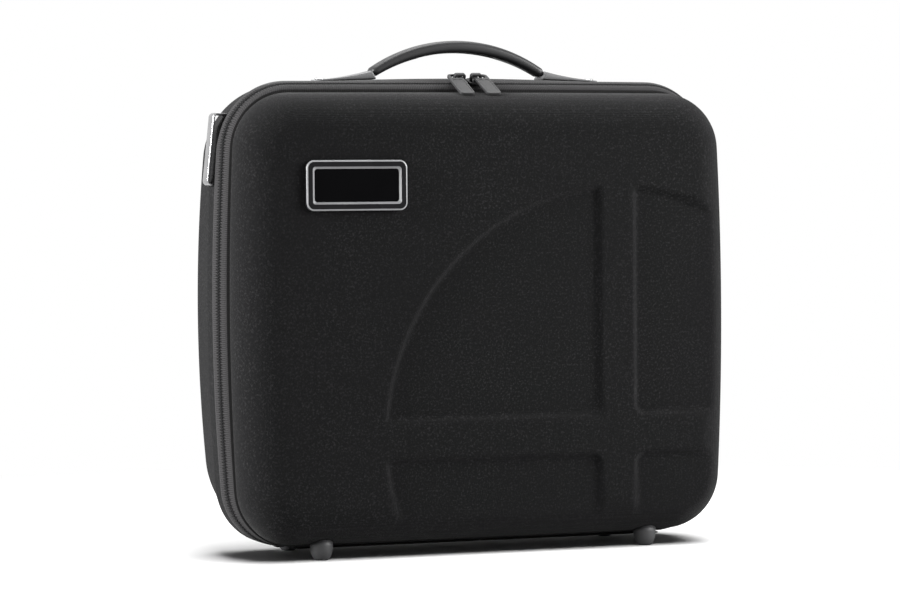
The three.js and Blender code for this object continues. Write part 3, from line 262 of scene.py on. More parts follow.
class TrimSizes(bpy.types.PropertyGroup):
    """Badge, feet and foam"""

    badge_x: length("Badge X", -0.096, "Middle of the badge")
    badge_z: length("Badge Z", 0.2432, "Middle of the badge, above the ground")
    badge_width: length("Badge width", 0.0694, "Badge")
    badge_height: length("Badge height", 0.033, "Badge")
    badge_corner: length("Badge corner", 0.0054, "Corner radius of the badge")
    inner_corner: length("Inner corner", 0.002, "Corner radius of the frame's opening")
    badge_proud: length("Badge proud", 0.0032, "How far the frame stands out of the face")
    outer_bevel: length("Outer bevel", 0.0017, "Rounded outer edge of the frame")
    bezel: length("Bezel", 0.0026, "Flat part of the frame")
    inner_bevel: length("Inner bevel", 0.0015, "Sloping inner edge of the frame")
    insert_sunk: length("Insert sunk", 0.0012, "Insert's face behind the bezel")
    frame_floor: length("Frame floor", 0.0006, "Frame's own floor behind the insert")
    foot_x: length("Foot X", 0.115, "Feet, beside the middle")
    foot_front: length("Front foot", 0.02, "Front feet behind the front face")
    foot_rear: length("Rear foot", 0.088, "Rear feet behind the front face")
    foot_radius: length("Foot radius", 0.0076, "Feet")
    foot_tip: length("Foot tip", 0.0034, "Radius of a foot's flat tip")
    foam_fit: length("Foam fit", 0.0005, "Between the foam and the shells")
    lid_foam_back: length("Lid foam back", 0.029, "Face of the lid's foam")
    base_foam_front: length("Base foam front", 0.0515, "Face of the base's foam")
    foam_edge: length("Foam edge", 0.003, "Rounded edge of the foam")
    pocket_floor: length("Pocket floor", 0.012, "Foam left behind the pockets")
    pocket_edge: length("Pocket edge", 0.016, "Foam left round the pockets")
    pocket_low: length("Pocket low", 0.04, "Lower end of the pockets")
    pocket_corner: length("Pocket corner", 0.014, "Corner radius of the pockets")
    microphone_width: length("Microphone width", 0.066, "Microphone's pocket")
    microphone_long: length("Microphone length", 0.226, "Microphone's pocket")
    mount_width: length("Mount width", 0.178, "Shock mount's pocket")
    mount_height: length("Mount height", 0.132, "Shock mount's pocket")
    cable_height: length("Cable height", 0.078, "Cable's pocket")
    thumb: length("Thumb", 0.017, "Radius of the finger hollows")
    thumb_shallow: length("Thumb shallow", 0.014, "How much less deep they are")


class FinishColours(bpy.types.PropertyGroup):
    """Colours of the materials, as linear red, green and blue"""

    cloth: colour("Cloth", (0.0034, 0.0034, 0.0036), "Woven cover of the shells")
    cloth_lint: colour("Lint", (0.027, 0.0264, 0.0272), "Paler threads in the cover")
    lining: colour("Lining", (0.016, 0.016, 0.018), "Cloth inside the shells")
    tape: colour("Tape", (0.016, 0.0155, 0.016), "Zip tape and hinge cloth")
    foam: colour("Foam", (0.045, 0.045, 0.048), "Foam inside")
    rubber: colour("Rubber", (0.014, 0.014, 0.015), "Feet")
    grip: colour("Grip", (0.007, 0.007, 0.0074), "Grip of the handle")
    ends: colour("Ends", (0.085, 0.085, 0.087), "End pieces of the handle")
    metal: colour("Metal", (0.018, 0.018, 0.0185), "Sliders, pulls and stops")
    bright: colour("Bright metal", (0.34, 0.34, 0.345), "Strap loops and rivets")
    frame: colour("Badge frame", (0.007, 0.007, 0.0075), "Frame of the badge")
    # Painted highlight: a paler colour on the black frame's bevels, which stands in for the lamps'
    # highlight on its polished edges.
    edge: colour("Badge edge", (0.16, 0.16, 0.165), "Polished edges of the frame")
    gloss: colour("Badge face", (0.0015, 0.0015, 0.0017), "Face of the badge")
    ground: colour("Ground", (0.8, 0.8, 0.8), "Floor")


class StageSizes(bpy.types.PropertyGroup):
    """Floor, lamps and camera"""

    sky: number("Sky", 0.06, "Strength of the even light from all round")
    top_power: number("Top lamp", 42, "Watts of the lamp overhead")
    left_power: number("Left lamp", 150, "Watts of the lamp on the left")
    right_power: number("Right lamp", 34, "Watts of the lamp in front on the right")
    back_power: number("Back lamp", 3, "Watts of the lamp behind and above")
    floor_power: number("Floor lamp", 110, "Watts of the lamp that lights the floor only")
    lens: number("Lens", 140, "Focal length for a sensor 36 mm wide")
    floor: length("Floor", 60, "Side of the floor")
    near: length("Near", 0.42, "Floor that takes the shadow, from the case's middle")
    fade: length("Fade", 0.3, "Over which the floor turns into the white backdrop")


# Surfaces


def closed(rows, joined=False):
    """A closed surface given as rows of points: vertices, faces and cloth map, facing outwards.

    Each row's end is joined to its start and neighbouring rows by quads. The first and last row
    are closed onto their own middles, or with joined onto each other. The map's two numbers are
    the lengths along the middle row and along the first column.
    """
    lines, places = rows.shape[:2]
    index = np.arange(lines * places).reshape(lines, places)
    steps = np.arange(lines + joined) % lines
    net = index[steps][:, np.append(np.arange(places), 0)]
    spread = rows.reshape(-1, 3)[net]
    middle = spread[len(net) // 2]
    u, v = run_along(middle), run_along(spread[:, 0])
    chart = np.stack(np.broadcast_arrays(u[None, :], v[:, None]), axis=-1)

    def corners(a):
        return np.stack([a[:-1, :-1], a[:-1, 1:], a[1:, 1:], a[1:, :-1]], axis=2)

    points = [rows.reshape(-1, 3)]
    triangles = [np.zeros((0, 3), int)]
    triangle_map = [np.zeros((0, 3, 2))]
    for end in () if joined else (0, -1):
        tip = lines * places + len(points) - 1
        points.append(spread[end, :-1].mean(axis=0, keepdims=True))
        # The last row is counted the other way round.
        sides = [slice(1, None), slice(None, -1)][:: end or 1]
        a, b = (net[end, side] for side in sides)
        triangles.append(np.stack([np.full(len(a), tip), a, b], axis=1))
        a, b = (chart[end, side] for side in sides)
        triangle_map.append(np.stack([(a + b) / 2, a, b], axis=1))
    return outward(
        (
            np.concatenate(points),
            corners(net).reshape(-1, 4),
            np.concatenate(triangles),
            corners(chart).reshape(-1, 4, 2),
            np.concatenate(triangle_map),
        )
    )


def run_along(points):
    """How far each of a line's points is along it."""
    return np.append(0, np.cumsum(np.linalg.norm(np.diff(points, axis=0), axis=1)))


def outward(part):
    """The same closed surface with its faces turned outwards, found from its signed volume."""
    points, quads, triangles, quad_map, triangle_map = part
    fans = np.concatenate([quads[:, [0, 1, 2]], quads[:, [0, 2, 3]], triangles])
    a, b, c = (points[fans[:, i]] for i in range(3))
    if np.einsum("ij,ij->i", a, np.cross(b, c)).sum() < 0:
        quads, quad_map = quads[:, ::-1], quad_map[:, ::-1]
        triangles, triangle_map = triangles[:, ::-1], triangle_map[:, ::-1]
    return points, quads, triangles, quad_map, triangle_map


def both_sides(part):
    """A closed surface on the right, and its mirror image for the left."""
    points = part[0] * np.array([-1, 1, 1])
    return ("right", part), ("left", outward((points, *part[1:])))


def piece(name, parts, material, body, replaced=(), bands=()):
    """One object from closed patches, in a material, riding on a body.

    Each band is a material with the first and last row of its part of the first patch.
    """
    starts = np.cumsum([0] + [len(p[0]) for p in parts])
    points = np.concatenate([p[0] for p in parts])
    quads = np.concatenate([p[1] + s for p, s in zip(parts, starts)])
    triangles = np.concatenate([p[2] + s for p, s in zip(parts, starts)])
    chart = np.concatenate(
        [p[3].reshape(-1, 2) for p in parts] + [p[4].reshape(-1, 2) for p in parts]
    )
    mesh = bpy.data.meshes.new(name)
    mesh.vertices.add(len(points))
    mesh.vertices.foreach_set("co", points.astype(np.float32).ravel())
    loops = np.concatenate([quads.ravel(), triangles.ravel()])
    mesh.loops.add(len(loops))
    mesh.loops.foreach_set("vertex_index", loops.astype(np.int32))
    sizes = np.concatenate([np.full(len(quads), 4), np.full(len(triangles), 3)])
    mesh.polygons.add(len(sizes))
    begins = np.append(0, np.cumsum(sizes)[:-1])
    mesh.polygons.foreach_set("loop_start", begins.astype(np.int32))
    mesh.polygons.foreach_set("use_smooth", np.ones(len(sizes), bool))
    layer = mesh.uv_layers.new(name="Cloth map")
    layer.data.foreach_set("uv", chart.astype(np.float32).ravel())
    mesh.materials.append(material)
    which = np.zeros(len(sizes), int)
    for i, (other, first, last) in enumerate(bands):
        mesh.materials.append(other)
        places = int(np.abs(np.diff(parts[0][1][0])).max())
        which[first * places : last * places] = i + 1
        if first == 0:
            which[len(quads) : len(quads) + places] = i + 1
    mesh.polygons.foreach_set("material_index", which.astype(np.int32))
    mesh.update(calc_edges=True)
    if mesh.validate():
        raise RuntimeError(f"{name} has faulty faces")
    thing = bpy.data.objects.new(name, mesh)
    bpy.context.scene.collection.objects.link(thing)
    if body:
        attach(thing, body)
    if replaced:
        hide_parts(*replaced)
    return thing


def soft(a, b, width):
    """The greater of two arrays, with the corner between them rounded over a width."""
    h = np.clip(0.5 + 0.5 * (a - b) / width, 0, 1)
    return b + (a - b) * h + width * h * (1 - h)


def eased(x):
    """0 below 0, 1 above 1 and an S between."""
    t = np.clip(x, 0, 1)
    return t * t * (3 - 2 * t)


def filleted(corners, radii, steps=6):
    """Points and outward normals of a convex, anticlockwise polygon with rounded corners."""
    corners = np.array(corners, float)
    radii = np.broadcast_to(np.array(radii, float), len(corners))
    back = np.roll(corners, 1, axis=0) - corners
    ahead = np.roll(corners, -1, axis=0) - corners
    back /= np.linalg.norm(back, axis=1)[:, None]
    ahead /= np.linalg.norm(ahead, axis=1)[:, None]
    half = np.arccos(np.clip((back * ahead).sum(axis=1), -1, 1)) / 2
    middle = back + ahead
    middle /= np.linalg.norm(middle, axis=1)[:, None]
    centre = corners + middle * (radii / np.sin(half))[:, None]
    start = np.arctan2(back[:, 0], -back[:, 1])
    turn = start[:, None] + (math.pi - 2 * half)[:, None] * np.linspace(0, 1, steps)
    normals = np.stack([np.cos(turn), np.sin(turn)], axis=-1)
    points = centre[:, None] + radii[:, None, None] * normals
    return points.reshape(-1, 2), normals.reshape(-1, 2)


def whole_turn(steps):
    """Angles once round, without the last, which is the first again."""
    return np.arange(steps) / steps * TURN


def corner(radius, steps):
    """Distances from two edges along the quarter circle that joins them, first (radius, 0)."""
    turns = np.linspace(0, math.pi / 2, steps)
    return [(radius * (1 - math.sin(t)), radius * (1 - math.cos(t))) for t in turns]


def rectangle(width, height, x=0.0, z=0.0):
    w, h = width / 2, height / 2
    return [(x - w, z - h), (x + w, z - h), (x + w, z + h), (x - w, z + h)]


def slab(points, normals, low, high, edge, steps=5):
    """Rows (x, y, z) of a plate on an outline: each edge is a quarter circle of radius edge."""
    levels = [(1.6 * edge, low)] + [(inset, low + rise) for inset, rise in corner(edge, steps)]
    levels += [(inset, low + high - level) for inset, level in levels[::-1]]
    return np.array(
        [
            np.column_stack([points - normals * inset, np.full(len(points), level)])
            for inset, level in levels
        ]
    )


def block(x, y, z, edge):
    """A box between pairs of limits, with rounded edges."""
    flat = rectangle(x[1] - x[0], y[1] - y[0], (x[0] + x[1]) / 2, (y[0] + y[1]) / 2)
    return slab(*filleted(flat, edge, 4), *z, edge, 4)


def bent(corners, radius, steps=8):
    """Points and directions of a line through corners, each of them bent on a circle."""
    corners = np.array(corners, float)
    points, ways = [corners[0]], []
    for before, corner, after in zip(corners[:-2], corners[1:-1], corners[2:]):
        a = (corner - before) / np.linalg.norm(corner - before)
        b = (after - corner) / np.linalg.norm(after - corner)
        turn = math.acos(np.clip(a @ b, -1, 1))
        way = math.copysign(1, a[0] * b[1] - a[1] * b[0])
        left = np.array([-a[1], a[0]]) * way
        start = corner - a * radius * math.tan(turn / 2)
        for t in np.linspace(0, turn, steps):
            points.append(start + a * radius * math.sin(t) + left * radius * (1 - math.cos(t)))
            ways.append(a * math.cos(t) + left * math.sin(t))
    points.append(corners[-1])
    ways = [ways[0], *ways, ways[-1]]
    return np.array(points), np.array(ways)


def bar(line, ways, width, thick, edge):
    """Rows (along x, width, along z) of a flat bar swept along a bent line, its edges rounded."""
    section, _ = filleted(rectangle(thick, width), edge, 5)
    normal = np.stack([-ways[:, 1], ways[:, 0]], axis=-1)
    flat = line[:, None] + normal[:, None] * section[None, :, :1]
    across = np.broadcast_to(section[:, 1], flat.shape[:2])
    return np.stack([flat[..., 0], across, flat[..., 1]], axis=-1)


def box_distance(x, z, width, height, radius, at_x, at_z):
    """How far outside a rounded rectangle a place is, and below 0 inside."""
    p = np.abs(x - at_x) - (width / 2 - radius)
    q = np.abs(z - at_z) - (height / 2 - radius)
    outside = np.hypot(np.maximum(p, 0), np.maximum(q, 0))
    return outside + np.minimum(np.maximum(p, q), 0) - radius


# The outline of the case


class Case:
    """The case's levels and the outlines at them, from the shell sizes."""

    def __init__(self, s):
        self.s = s
        self.front = dict(
            side=s.front_width / 2,
            top=s.front_top,
            bottom=s.front_bottom,
            side_radius=s.side_radius,
            top_bend=1 / s.edge_radius,
            high=s.corner_radius,
            low=s.corner_radius,
        )
        front = self.front
        seam = dict(front, side=front["side"] - s.seam_in, bottom=s.front_bottom - s.bottom_drop)
        self.seam = seam
        self.chain = dict(
            seam,
            side=seam["side"] + s.chain_out,
            top=s.front_top + s.chain_up,
            side_radius=s.chain_side_radius,
            top_bend=1 / s.chain_top_radius,
            high=s.chain_corner,
            low=s.rear_low_corner,
        )
        chain = self.chain
        self.rim = dict(
            chain,
            side=chain["side"] + s.rim_out,
            top=chain["top"] + s.rim_up,
            top_bend=1 / s.rim_top_radius,
            high=s.rim_corner,
        )
        rim = self.rim
        self.body = dict(
            rim,
            side=rim["side"] + s.body_out,
            top=rim["top"] + s.body_up,
            top_bend=1 / s.body_top_radius,
            high=s.body_corner,
        )
        body = self.body
        self.back = dict(
            body,
            side=body["side"] - s.rear_draft,
            top=body["top"] - s.rear_draft,
            bottom=body["bottom"] + s.rear_draft,
            side_radius=s.back_side_radius,
            high=s.back_corner,
            low=s.back_low_corner,
        )
        rise = s.shoulder * math.tan(s.slope)
        self.levels = [
            (s.seam_depth, seam),
            (s.chain_depth - s.shoulder, self.moved(chain, -rise)),
            (s.chain_depth, chain),
            (s.chain_depth + s.shoulder, self.moved(chain, rise)),
            (s.rim_depth, rim),
            (s.girth_depth, body),
        ]

    @staticmethod
    def moved(form, out):
        return dict(form, side=form["side"] + out, top=form["top"] + out, high=form["high"] + out)

    @staticmethod
    def between(a, b, share):
        return {key: a[key] + (b[key] - a[key]) * share for key in a}

    def at(self, depth):
        """The form at a depth between the seam and the girth."""
        levels = self.levels
        i = min(max(1, sum(depth > level for level, _ in levels)), len(levels) - 1)
        (d0, a), (d1, b) = levels[i - 1], levels[i]
        return self.between(a, b, min(max((depth - d0) / (d1 - d0), 0), 1))

    def arcs(self, form):
        """Centre, radius, first and last angle of the five arcs of an outline's right half."""
        s = self.s
        top_radius = 1 / form["top_bend"]
        side = np.array([form["side"] - form["side_radius"], s.widest_level])
        top = np.array([0, form["top"] - top_radius])
        bottom = np.array([0, form["bottom"] + s.edge_radius])

        def crossing(a, ra, b, rb, towards):
            line = b - a
            far = np.hypot(*line)
            along = (ra**2 - rb**2 + far**2) / (2 * far)
            aside = math.sqrt(ra**2 - along**2)
            line = line / far
            normal = np.array([-line[1], line[0]])
            return a + line * along + normal * aside * math.copysign(1, normal @ towards)

        radius, high, low = form["side_radius"], form["high"], form["low"]
        upper = crossing(side, radius - high, top, top_radius - high, np.array([1, 1]))
        lower = crossing(side, radius - low, bottom, s.edge_radius - low, np.array([1, -1]))

        def aim(a, b):
            return math.atan2(b[1] - a[1], b[0] - a[0])

        return [
            (bottom, s.edge_radius, -math.pi / 2, aim(bottom, lower)),
            (lower, low, aim(bottom, lower), aim(side, lower)),
            (side, radius, aim(side, lower), aim(side, upper)),
            (upper, high, aim(side, upper), aim(top, upper)),
            (top, top_radius, aim(top, upper), math.pi / 2),
        ]

    def outline(self, form, inset, places):
        """Points (x, z) of an outline moved in by an inset, at an array of places."""
        arcs = self.arcs(form)
        centre = np.array([a[0] for a in arcs])
        radius, first, last = (np.array([a[i] for a in arcs]) for i in (1, 2, 3))
        right = np.where(places <= 5, places, 10 - places)
        arc = np.minimum(right.astype(int), 4)
        turn = first[arc] + (right - arc) * (last[arc] - first[arc])
        x = centre[arc, 0] + (radius[arc] - inset) * np.cos(turn)
        z = centre[arc, 1] + (radius[arc] - inset) * np.sin(turn)
        return np.stack([np.where(places <= 5, x, -x), z], axis=-1)

    def ring(self, depth, form, inset, places):
        flat = self.outline(form, inset, places)
        y = np.full(len(flat), depth - self.s.middle)
        return np.stack([flat[:, 0], y, flat[:, 1]], axis=-1)

    def top_at(self, form, x):
        radius = 1 / form["top_bend"]
        return form["top"] - radius + np.sqrt(radius**2 - x**2)

    def side_at(self, form, height):
        """How far out the side is at a height."""
        arcs = self.arcs(form)
        side, upper = arcs[2], arcs[3]
        contact = side[0][1] + side[1] * math.sin(side[3])
        centre, radius = (upper if height > contact else side)[:2]
        return centre[0] + math.sqrt(radius**2 - (height - centre[1]) ** 2)


def around(bottom, corner, side, high, top):
    """Places all round an outline, with so many steps on each arc of a half."""
    half = [i + np.arange(n) / n for i, n in enumerate((bottom, corner, side, high, top))]
    right = np.concatenate(half)
    return np.concatenate([right, [5.0], 10 - right[:0:-1]])


def quarter(case, form, depth, radius, inset, towards, places, steps):
    """Rings of a quarter-round: sine along the depth and cosine across the wall."""
    rings = []
    for t in np.linspace(0, math.pi / 2, steps + 1)[1:]:
        at = depth + towards * radius * math.sin(t)
        rings.append(case.ring(at, form, inset + radius * (1 - math.cos(t)), places))
    return rings


def tray_rings(case, form, start, radius, towards, places):
    """A shell's inside, from the middle of its floor over the inner rounding to its wall."""
    s = case.s
    tray = quarter(case, form, start, radius, s.wall, towards, places, 8)
    rings = shrunk(tray[-1], (0, s.widest_level), (0.04, 0.3, 0.65, 0.9))
    return rings + tray[::-1] + [case.ring(start, form, s.wall, places)]


def shrunk(ring, centre, shares):
    """Copies of a flat ring drawn in towards a centre, which stay in its plane."""
    c = np.array([centre[0], ring[0, 1], centre[1]])
    return [c + (ring - c) * share for share in shares]


def rim_rings(case, depth, form, towards, places, rounding):
    """A shell's rim from its inner edge, over its end face, to its rounded outer edge."""
    s = case.s
    rings = [
        case.ring(depth + towards * back, form, s.wall - inset, places)
        for back, inset in corner(s.rim_soft / 4, 4)
    ]
    rings.append(case.ring(depth, form, (s.wall + rounding) / 2, places))
    rings += [
        case.ring(depth + towards * back, form, inset, places)
        for inset, back in corner(rounding, 7)
    ]
    return rings


def relief(s, x, z):
    """How deep the sunk quarters lie at a place on the face.

    The distance to the nearest edge, which is the ring's circle, a band or the corner between the
    two bands, runs through an S-curve as wide as the sloping edge.
    """
    right, up = np.abs(x - s.relief_x), np.abs(z - s.relief_z)
    p = s.upright_band / 2 + s.relief_corner - right
    q = s.level_band / 2 + s.relief_corner - up
    crossing = np.hypot(np.maximum(p, 0), np.maximum(q, 0)) - s.relief_corner
    bands = np.where((p > 0) & (q > 0), crossing, np.maximum(p, q) - s.relief_corner)
    circle = np.hypot(right, up) - s.relief_radius
    edge = soft(bands, circle, s.relief_slope / 2)
    return s.relief_depth * eased(0.5 - edge / s.relief_slope)


class CASE_OT_front_shell(bpy.types.Operator):
    """Front shell: a moulded tray with a rounded edge and the relief sunk into its face"""

    bl_idname = "case.front_shell"
    bl_label = "Front shell"

    def execute(self, context):
        s = context.scene.case_shell
        case = Case(s)
        places = around(54, 26, 92, 26, 64)
        inner_start = s.face_wall + s.inner_round_front
        rings = tray_rings(case, case.front, inner_start, s.inner_round_front, -1, places)
        inside = len(rings)
        rings += rim_rings(case, s.seam_depth, case.seam, -1, places, s.rim_soft)
        start = s.seam_depth - s.rim_soft
        for share in (0.35, 0.7, 1):
            form = case.between(case.seam, case.front, share)
            rings.append(case.ring(start + (s.front_round - start) * share, form, 0, places))
        outside = len(rings)
        rings += quarter(case, case.front, s.front_round, s.front_round, 0, -1, places, 18)
        flat = rings[-1]
        hub = np.array([s.relief_x, flat[0, 1], s.relief_z])
        reach = np.linalg.norm(flat - hub, axis=1)[:, None]
        # Rings crowd where the relief's circle slopes, and shrink with it where the face is small.
        inner = s.relief_radius - 1.7 * s.relief_slope
        outer = s.relief_radius + 1.7 * s.relief_slope
        fit = np.minimum(1, 0.93 * reach / outer)
        stops = [reach + (outer * fit - reach) * t for t in np.linspace(0, 1, 28)[1:]]
        stops += [outer * fit + (inner - outer) * fit * t for t in np.linspace(0, 1, 15)[1:]]
        stops += [inner * fit * (1 - t) for t in np.linspace(0, 1, 50)[1:-1]]
        rings += [hub + (flat - hub) * r / reach for r in stops]
        rows = np.array(rings)
        face = rows[outside:]
        sunk = relief(s, face[..., 0], face[..., 2]) - s.middle
        face[..., 1] = soft(face[..., 1], sunk, 0.0012)
        # The rounding lifts the plain face by a hair, so it is set back to the plane there.
        face[..., 1] = np.minimum(face[..., 1], s.front_round - s.middle)
        piece(
            "front_shell_cover",
            [closed(rows)],
            cloth_material(context),
            "lid",
            ["front_shell"],
            [(lining_material(context), 0, inside)],
        )
        return {"FINISHED"}


class LoopPlace:
    """Where a strap loop stands: a frame that leans with the shell's side."""

    def __init__(self, case, loop):
        s = case.s
        form = case.at(loop.depth)
        foot = np.array([case.side_at(form, s.hollow_low), s.hollow_low])
        self.lean = loop.lean
        self.span = (s.hollow_high - s.hollow_low) / math.cos(loop.lean)
        up = np.array([-math.sin(loop.lean), math.cos(loop.lean)])
        self.out = np.array([math.cos(loop.lean), math.sin(loop.lean)])
        self.up = up
        self.middle = foot + up * self.span / 2
        self.y = loop.depth - s.middle

    def to_case(self, out, y, along):
        """Points from distances out of the wall, behind the loop's middle and up it."""
        x = self.middle[0] + self.out[0] * out + self.up[0] * along
        z = self.middle[1] + self.out[1] * out + self.up[1] * along
        return np.stack(np.broadcast_arrays(x, self.y + y, z), axis=-1)

    def from_case(self, points):
        x, z = points[..., 0] - self.middle[0], points[..., 2] - self.middle[1]
        return (
            x * self.out[0] + z * self.out[1],
            points[..., 1] - self.y,
            x * self.up[0] + z * self.up[1],
        )


class LoopSizes(bpy.types.PropertyGroup):
    """Strap loops on the sides"""

    depth: length("Depth", 0.0562, "Middle of the loops behind the front face")
    width: length("Width", 0.0104, "Flat bar, front to back")
    thick: length("Thickness", 0.0015, "Flat bar")
    stand: length("Stand", 0.0028, "From the shell's side out to the bar")
    lean: angle("Lean", 6.3, "Degrees the bar leans in")
    bend: length("Bend", 0.0032, "Outside radius of its bends")
    leg: length("Leg", 0.0094, "How far the legs reach into the wall")


class CASE_OT_rear_shell(bpy.types.Operator):
    """Rear shell: a deep moulded tray, hollowed a little under each strap loop"""

    bl_idname = "case.rear_shell"
    bl_label = "Rear shell"

    def execute(self, context):
        s = context.scene.case_shell
        case = Case(s)
        places = around(40, 24, 92, 34, 50)
        depth = s.rear_round_start + s.rear_round
        start = depth - s.wall - s.inner_round_rear
        rings = tray_rings(case, case.back, start, s.inner_round_rear, 1, places)
        rings.append(case.ring(s.girth_depth, case.body, s.wall, places))
        inside = len(rings)
        rings += rim_rings(case, s.rim_depth, case.rim, 1, places, s.rear_rim_soft)
        outside = len(rings)
        start = s.rim_depth + s.rear_rim_soft
        for share in np.linspace(0, 1, 6)[1:]:
            form = case.between(case.rim, case.body, share)
            rings.append(case.ring(start + (s.girth_depth - start) * share, form, 0, places))
        for share in np.linspace(0, 1, 11)[1:]:
            form = case.between(case.body, case.back, share)
            at = s.girth_depth + (s.rear_round_start - s.girth_depth) * share
            rings.append(case.ring(at, form, 0, places))
        rings += quarter(case, case.back, s.rear_round_start, s.rear_round, 0, 1, places, 20)
        middle = (0, s.widest_level)
        rings += shrunk(rings[-1], middle, (0.97, 0.9, 0.75, 0.55, 0.35, 0.15, 0.04))
        rows = np.array(rings)
        self.hollows(LoopPlace(case, context.scene.case_loop), s, rows[outside:])
        piece(
            "rear_shell_cover",
            [closed(rows)],
            cloth_material(context),
            "base",
            ["rear_shell"],
            [(lining_material(context), 0, inside)],
        )
        return {"FINISHED"}

    def hollows(self, place, s, outer):
        """Draws the outside in under each strap loop, by the lesser of it and a round trough."""
        mirror = np.where(outer[..., 0] < 0, -1.0, 1.0)
        right = outer.copy()
        right[..., 0] *= mirror
        out, y, along = place.from_case(right)
        radius, reach, margin, fade = s.hollow_radius, 0.02, 0.0006, 0.003
        bowl = radius - s.hollow - np.sqrt(np.maximum(radius**2 - y**2, 0))
        ends = eased((place.span / 2 - margin - np.abs(along)) / fade)
        near = (np.abs(y) < reach) & (np.abs(out) < reach)
        lower = -soft(-out, -bowl, 0.0005)
        out = np.where(near, out + (np.minimum(lower, out) - out) * ends, out)
        outer[:] = np.where(near[..., None], place.to_case(out, y, along), right)
        outer[..., 0] *= mirror


# Zip


def on_slope(s, across, out):
    """A depth and a distance out, from the distance across the zip's slope and out of it."""
    return (
        s.chain_depth + across * math.cos(s.slope) - out * math.sin(s.slope),
        out / math.cos(s.slope),
    )


def tape_places(case, step):
    """Places along the zip, evenly spaced, from one lower corner round the top to the other."""
    end = 8 / 7
    fine = np.linspace(end, 10 - end, 6001)
    track = case.outline(case.chain, 0, fine)
    run = run_along(track)
    steps = int(round(run[-1] / step))
    return np.interp(np.linspace(0, run[-1], steps + 1), run, fine)


def tape_section(s, z, rim, towards):
    """Section of one tape: flat cloth from the shell's rim, and its thick rounded edge."""
    start = rim + towards * z.gap
    bend = s.chain_depth - towards * s.shoulder
    half = z.tape / 2
    dip, ramp = (z.groove if towards > 0 else 0.0), 0.0018
    flat = [
        (start + towards * ramp * share, half - dip * deep)
        for share, deep in ((0, 1), (1 / 3, 1), (2 / 3, 0.1), (1, 0))
    ]
    flat.append((bend, half))
    edge, round_edge = z.slot / 2, z.coil_taper
    profile = [(edge + 4 * round_edge, half), (edge + 2 * round_edge, half)]
    profile += [(edge + side, half - down) for side, down in corner(round_edge, 5)]
    middle, reach = edge + z.coil_reach / 2, z.coil_reach / 2
    squareness = 0.7
    for t in np.linspace(0, math.pi, 9):
        x = math.copysign(abs(math.cos(t)) ** squareness, math.cos(t))
        deep = (z.coil - z.tape) * abs(math.sin(t)) ** squareness
        profile.append((middle - reach * x, -half - deep))
    profile.append((edge + z.coil_reach + z.coil_taper, -half))
    sloped = [on_slope(s, -towards * a, o) for a, o in profile]
    under = [(bend, -half), (start + towards * ramp, -half), (start, -half - dip)]
    return flat + sloped + under


class CASE_OT_zip(bpy.types.Operator):
    """Zip tapes with their thick edges, and the interlocking teeth between them"""

    bl_idname = "case.zip"
    bl_label = "Zip"

    def execute(self, context):
        s, z = context.scene.case_shell, context.scene.case_zip
        case = Case(s)
        places = tape_places(case, 0.003)
        material = tape_material(context)
        rows = [
            ("front_zip_cloth", "lid", "front_zip_tape", s.seam_depth, 1),
            ("rear_zip_cloth", "base", "rear_zip_tape", s.rim_depth, -1),
        ]
        for name, body, node, rim, towards in rows:
            columns = [
                case.ring(depth, case.at(depth), -out, places)
                for depth, out in tape_section(s, z, rim, towards)
            ]
            net = np.stack(columns, axis=1)
            piece(name, [closed(net)], material, body, [node])
        grip = context.scene.case_colours.grip
        self.teeth(case, s, z, plastic("Zip teeth", grip, 0.6, 900.0, 0.00002, 0.05))
        return {"FINISHED"}

    def teeth(self, case, s, z, material):
        """Rows of rounded teeth, each an ellipsoid turned to the slope at its own place."""
        places = tape_places(case, z.tooth_pitch / 2)[1:-1]
        step = 1e-4
        here = case.ring(s.chain_depth, case.chain, 0, places)
        ahead = case.ring(s.chain_depth, case.chain, 0, places + step)
        depth, out = on_slope(s, step, 0)
        over = case.ring(depth, case.at(depth), -out, places)
        along = ahead - here
        along /= np.linalg.norm(along, axis=1)[:, None]
        across = over - here
        across -= along * np.einsum("ij,ij->i", across, along)[:, None]
        across /= np.linalg.norm(across, axis=1)[:, None]
        outwards = np.cross(along, across)
        polar = np.linspace(0, math.pi, 7)[1:-1]
        azimuth = whole_turn(8)
        p, a = np.meshgrid(polar, azimuth, indexing="ij")
        unit = np.stack([np.cos(p), np.sin(p) * np.cos(a), np.sin(p) * np.sin(a)], axis=-1)
        shape = unit * np.array([z.slot * 1.5, z.tooth_pitch * 0.25, z.coil * 0.3])
        for name, body, odd, towards in (
            ("front_zip_teeth", "lid", 0, 1),
            ("rear_zip_teeth", "base", 1, -1),
        ):
            parts = []
            for i in range(odd, len(places), 2):
                axes = np.stack([-towards * across[i], along[i], outwards[i]])
                centre = here[i] - towards * across[i] * z.slot * 0.5 - outwards[i] * z.coil * 0.22
                parts.append(closed(centre + shape @ axes))
            piece(name, parts, material, body)


class CASE_OT_hinge(bpy.types.Operator):
    """Hinge cloth: one strip under both shells, which folds where the lid turns"""

    bl_idname = "case.hinge"
    bl_label = "Hinge cloth"

    def execute(self, context):
        s, z = context.scene.case_shell, context.scene.case_zip
        low, high = s.seam_depth - z.hinge_lap, s.rim_depth + z.hinge_lap
        x = np.linspace(-z.hinge_half, z.hinge_half, 65)
        steps = 29
        depth = np.linspace(low, high, steps) - s.middle
        top = s.front_bottom - s.bottom_drop - z.gap
        half = z.hinge_thick / 2
        body = np.concatenate([depth, depth[::-1]])
        side = np.repeat([half, -half], steps)
        side = side * np.where(np.abs(body - body.mean()) > (high - low) / 2 - 1e-4, 0.55, 1)
        rows = np.stack(np.broadcast_arrays(x[:, None], body, top - half + side), axis=-1)
        thing = piece(
            "hinge_cloth",
            [closed(rows)],
            tape_material(context),
            None,
            ["hinge_strip_front", "hinge_strip_rear"],
        )
        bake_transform(thing)
        return {"FINISHED"}


# Handle


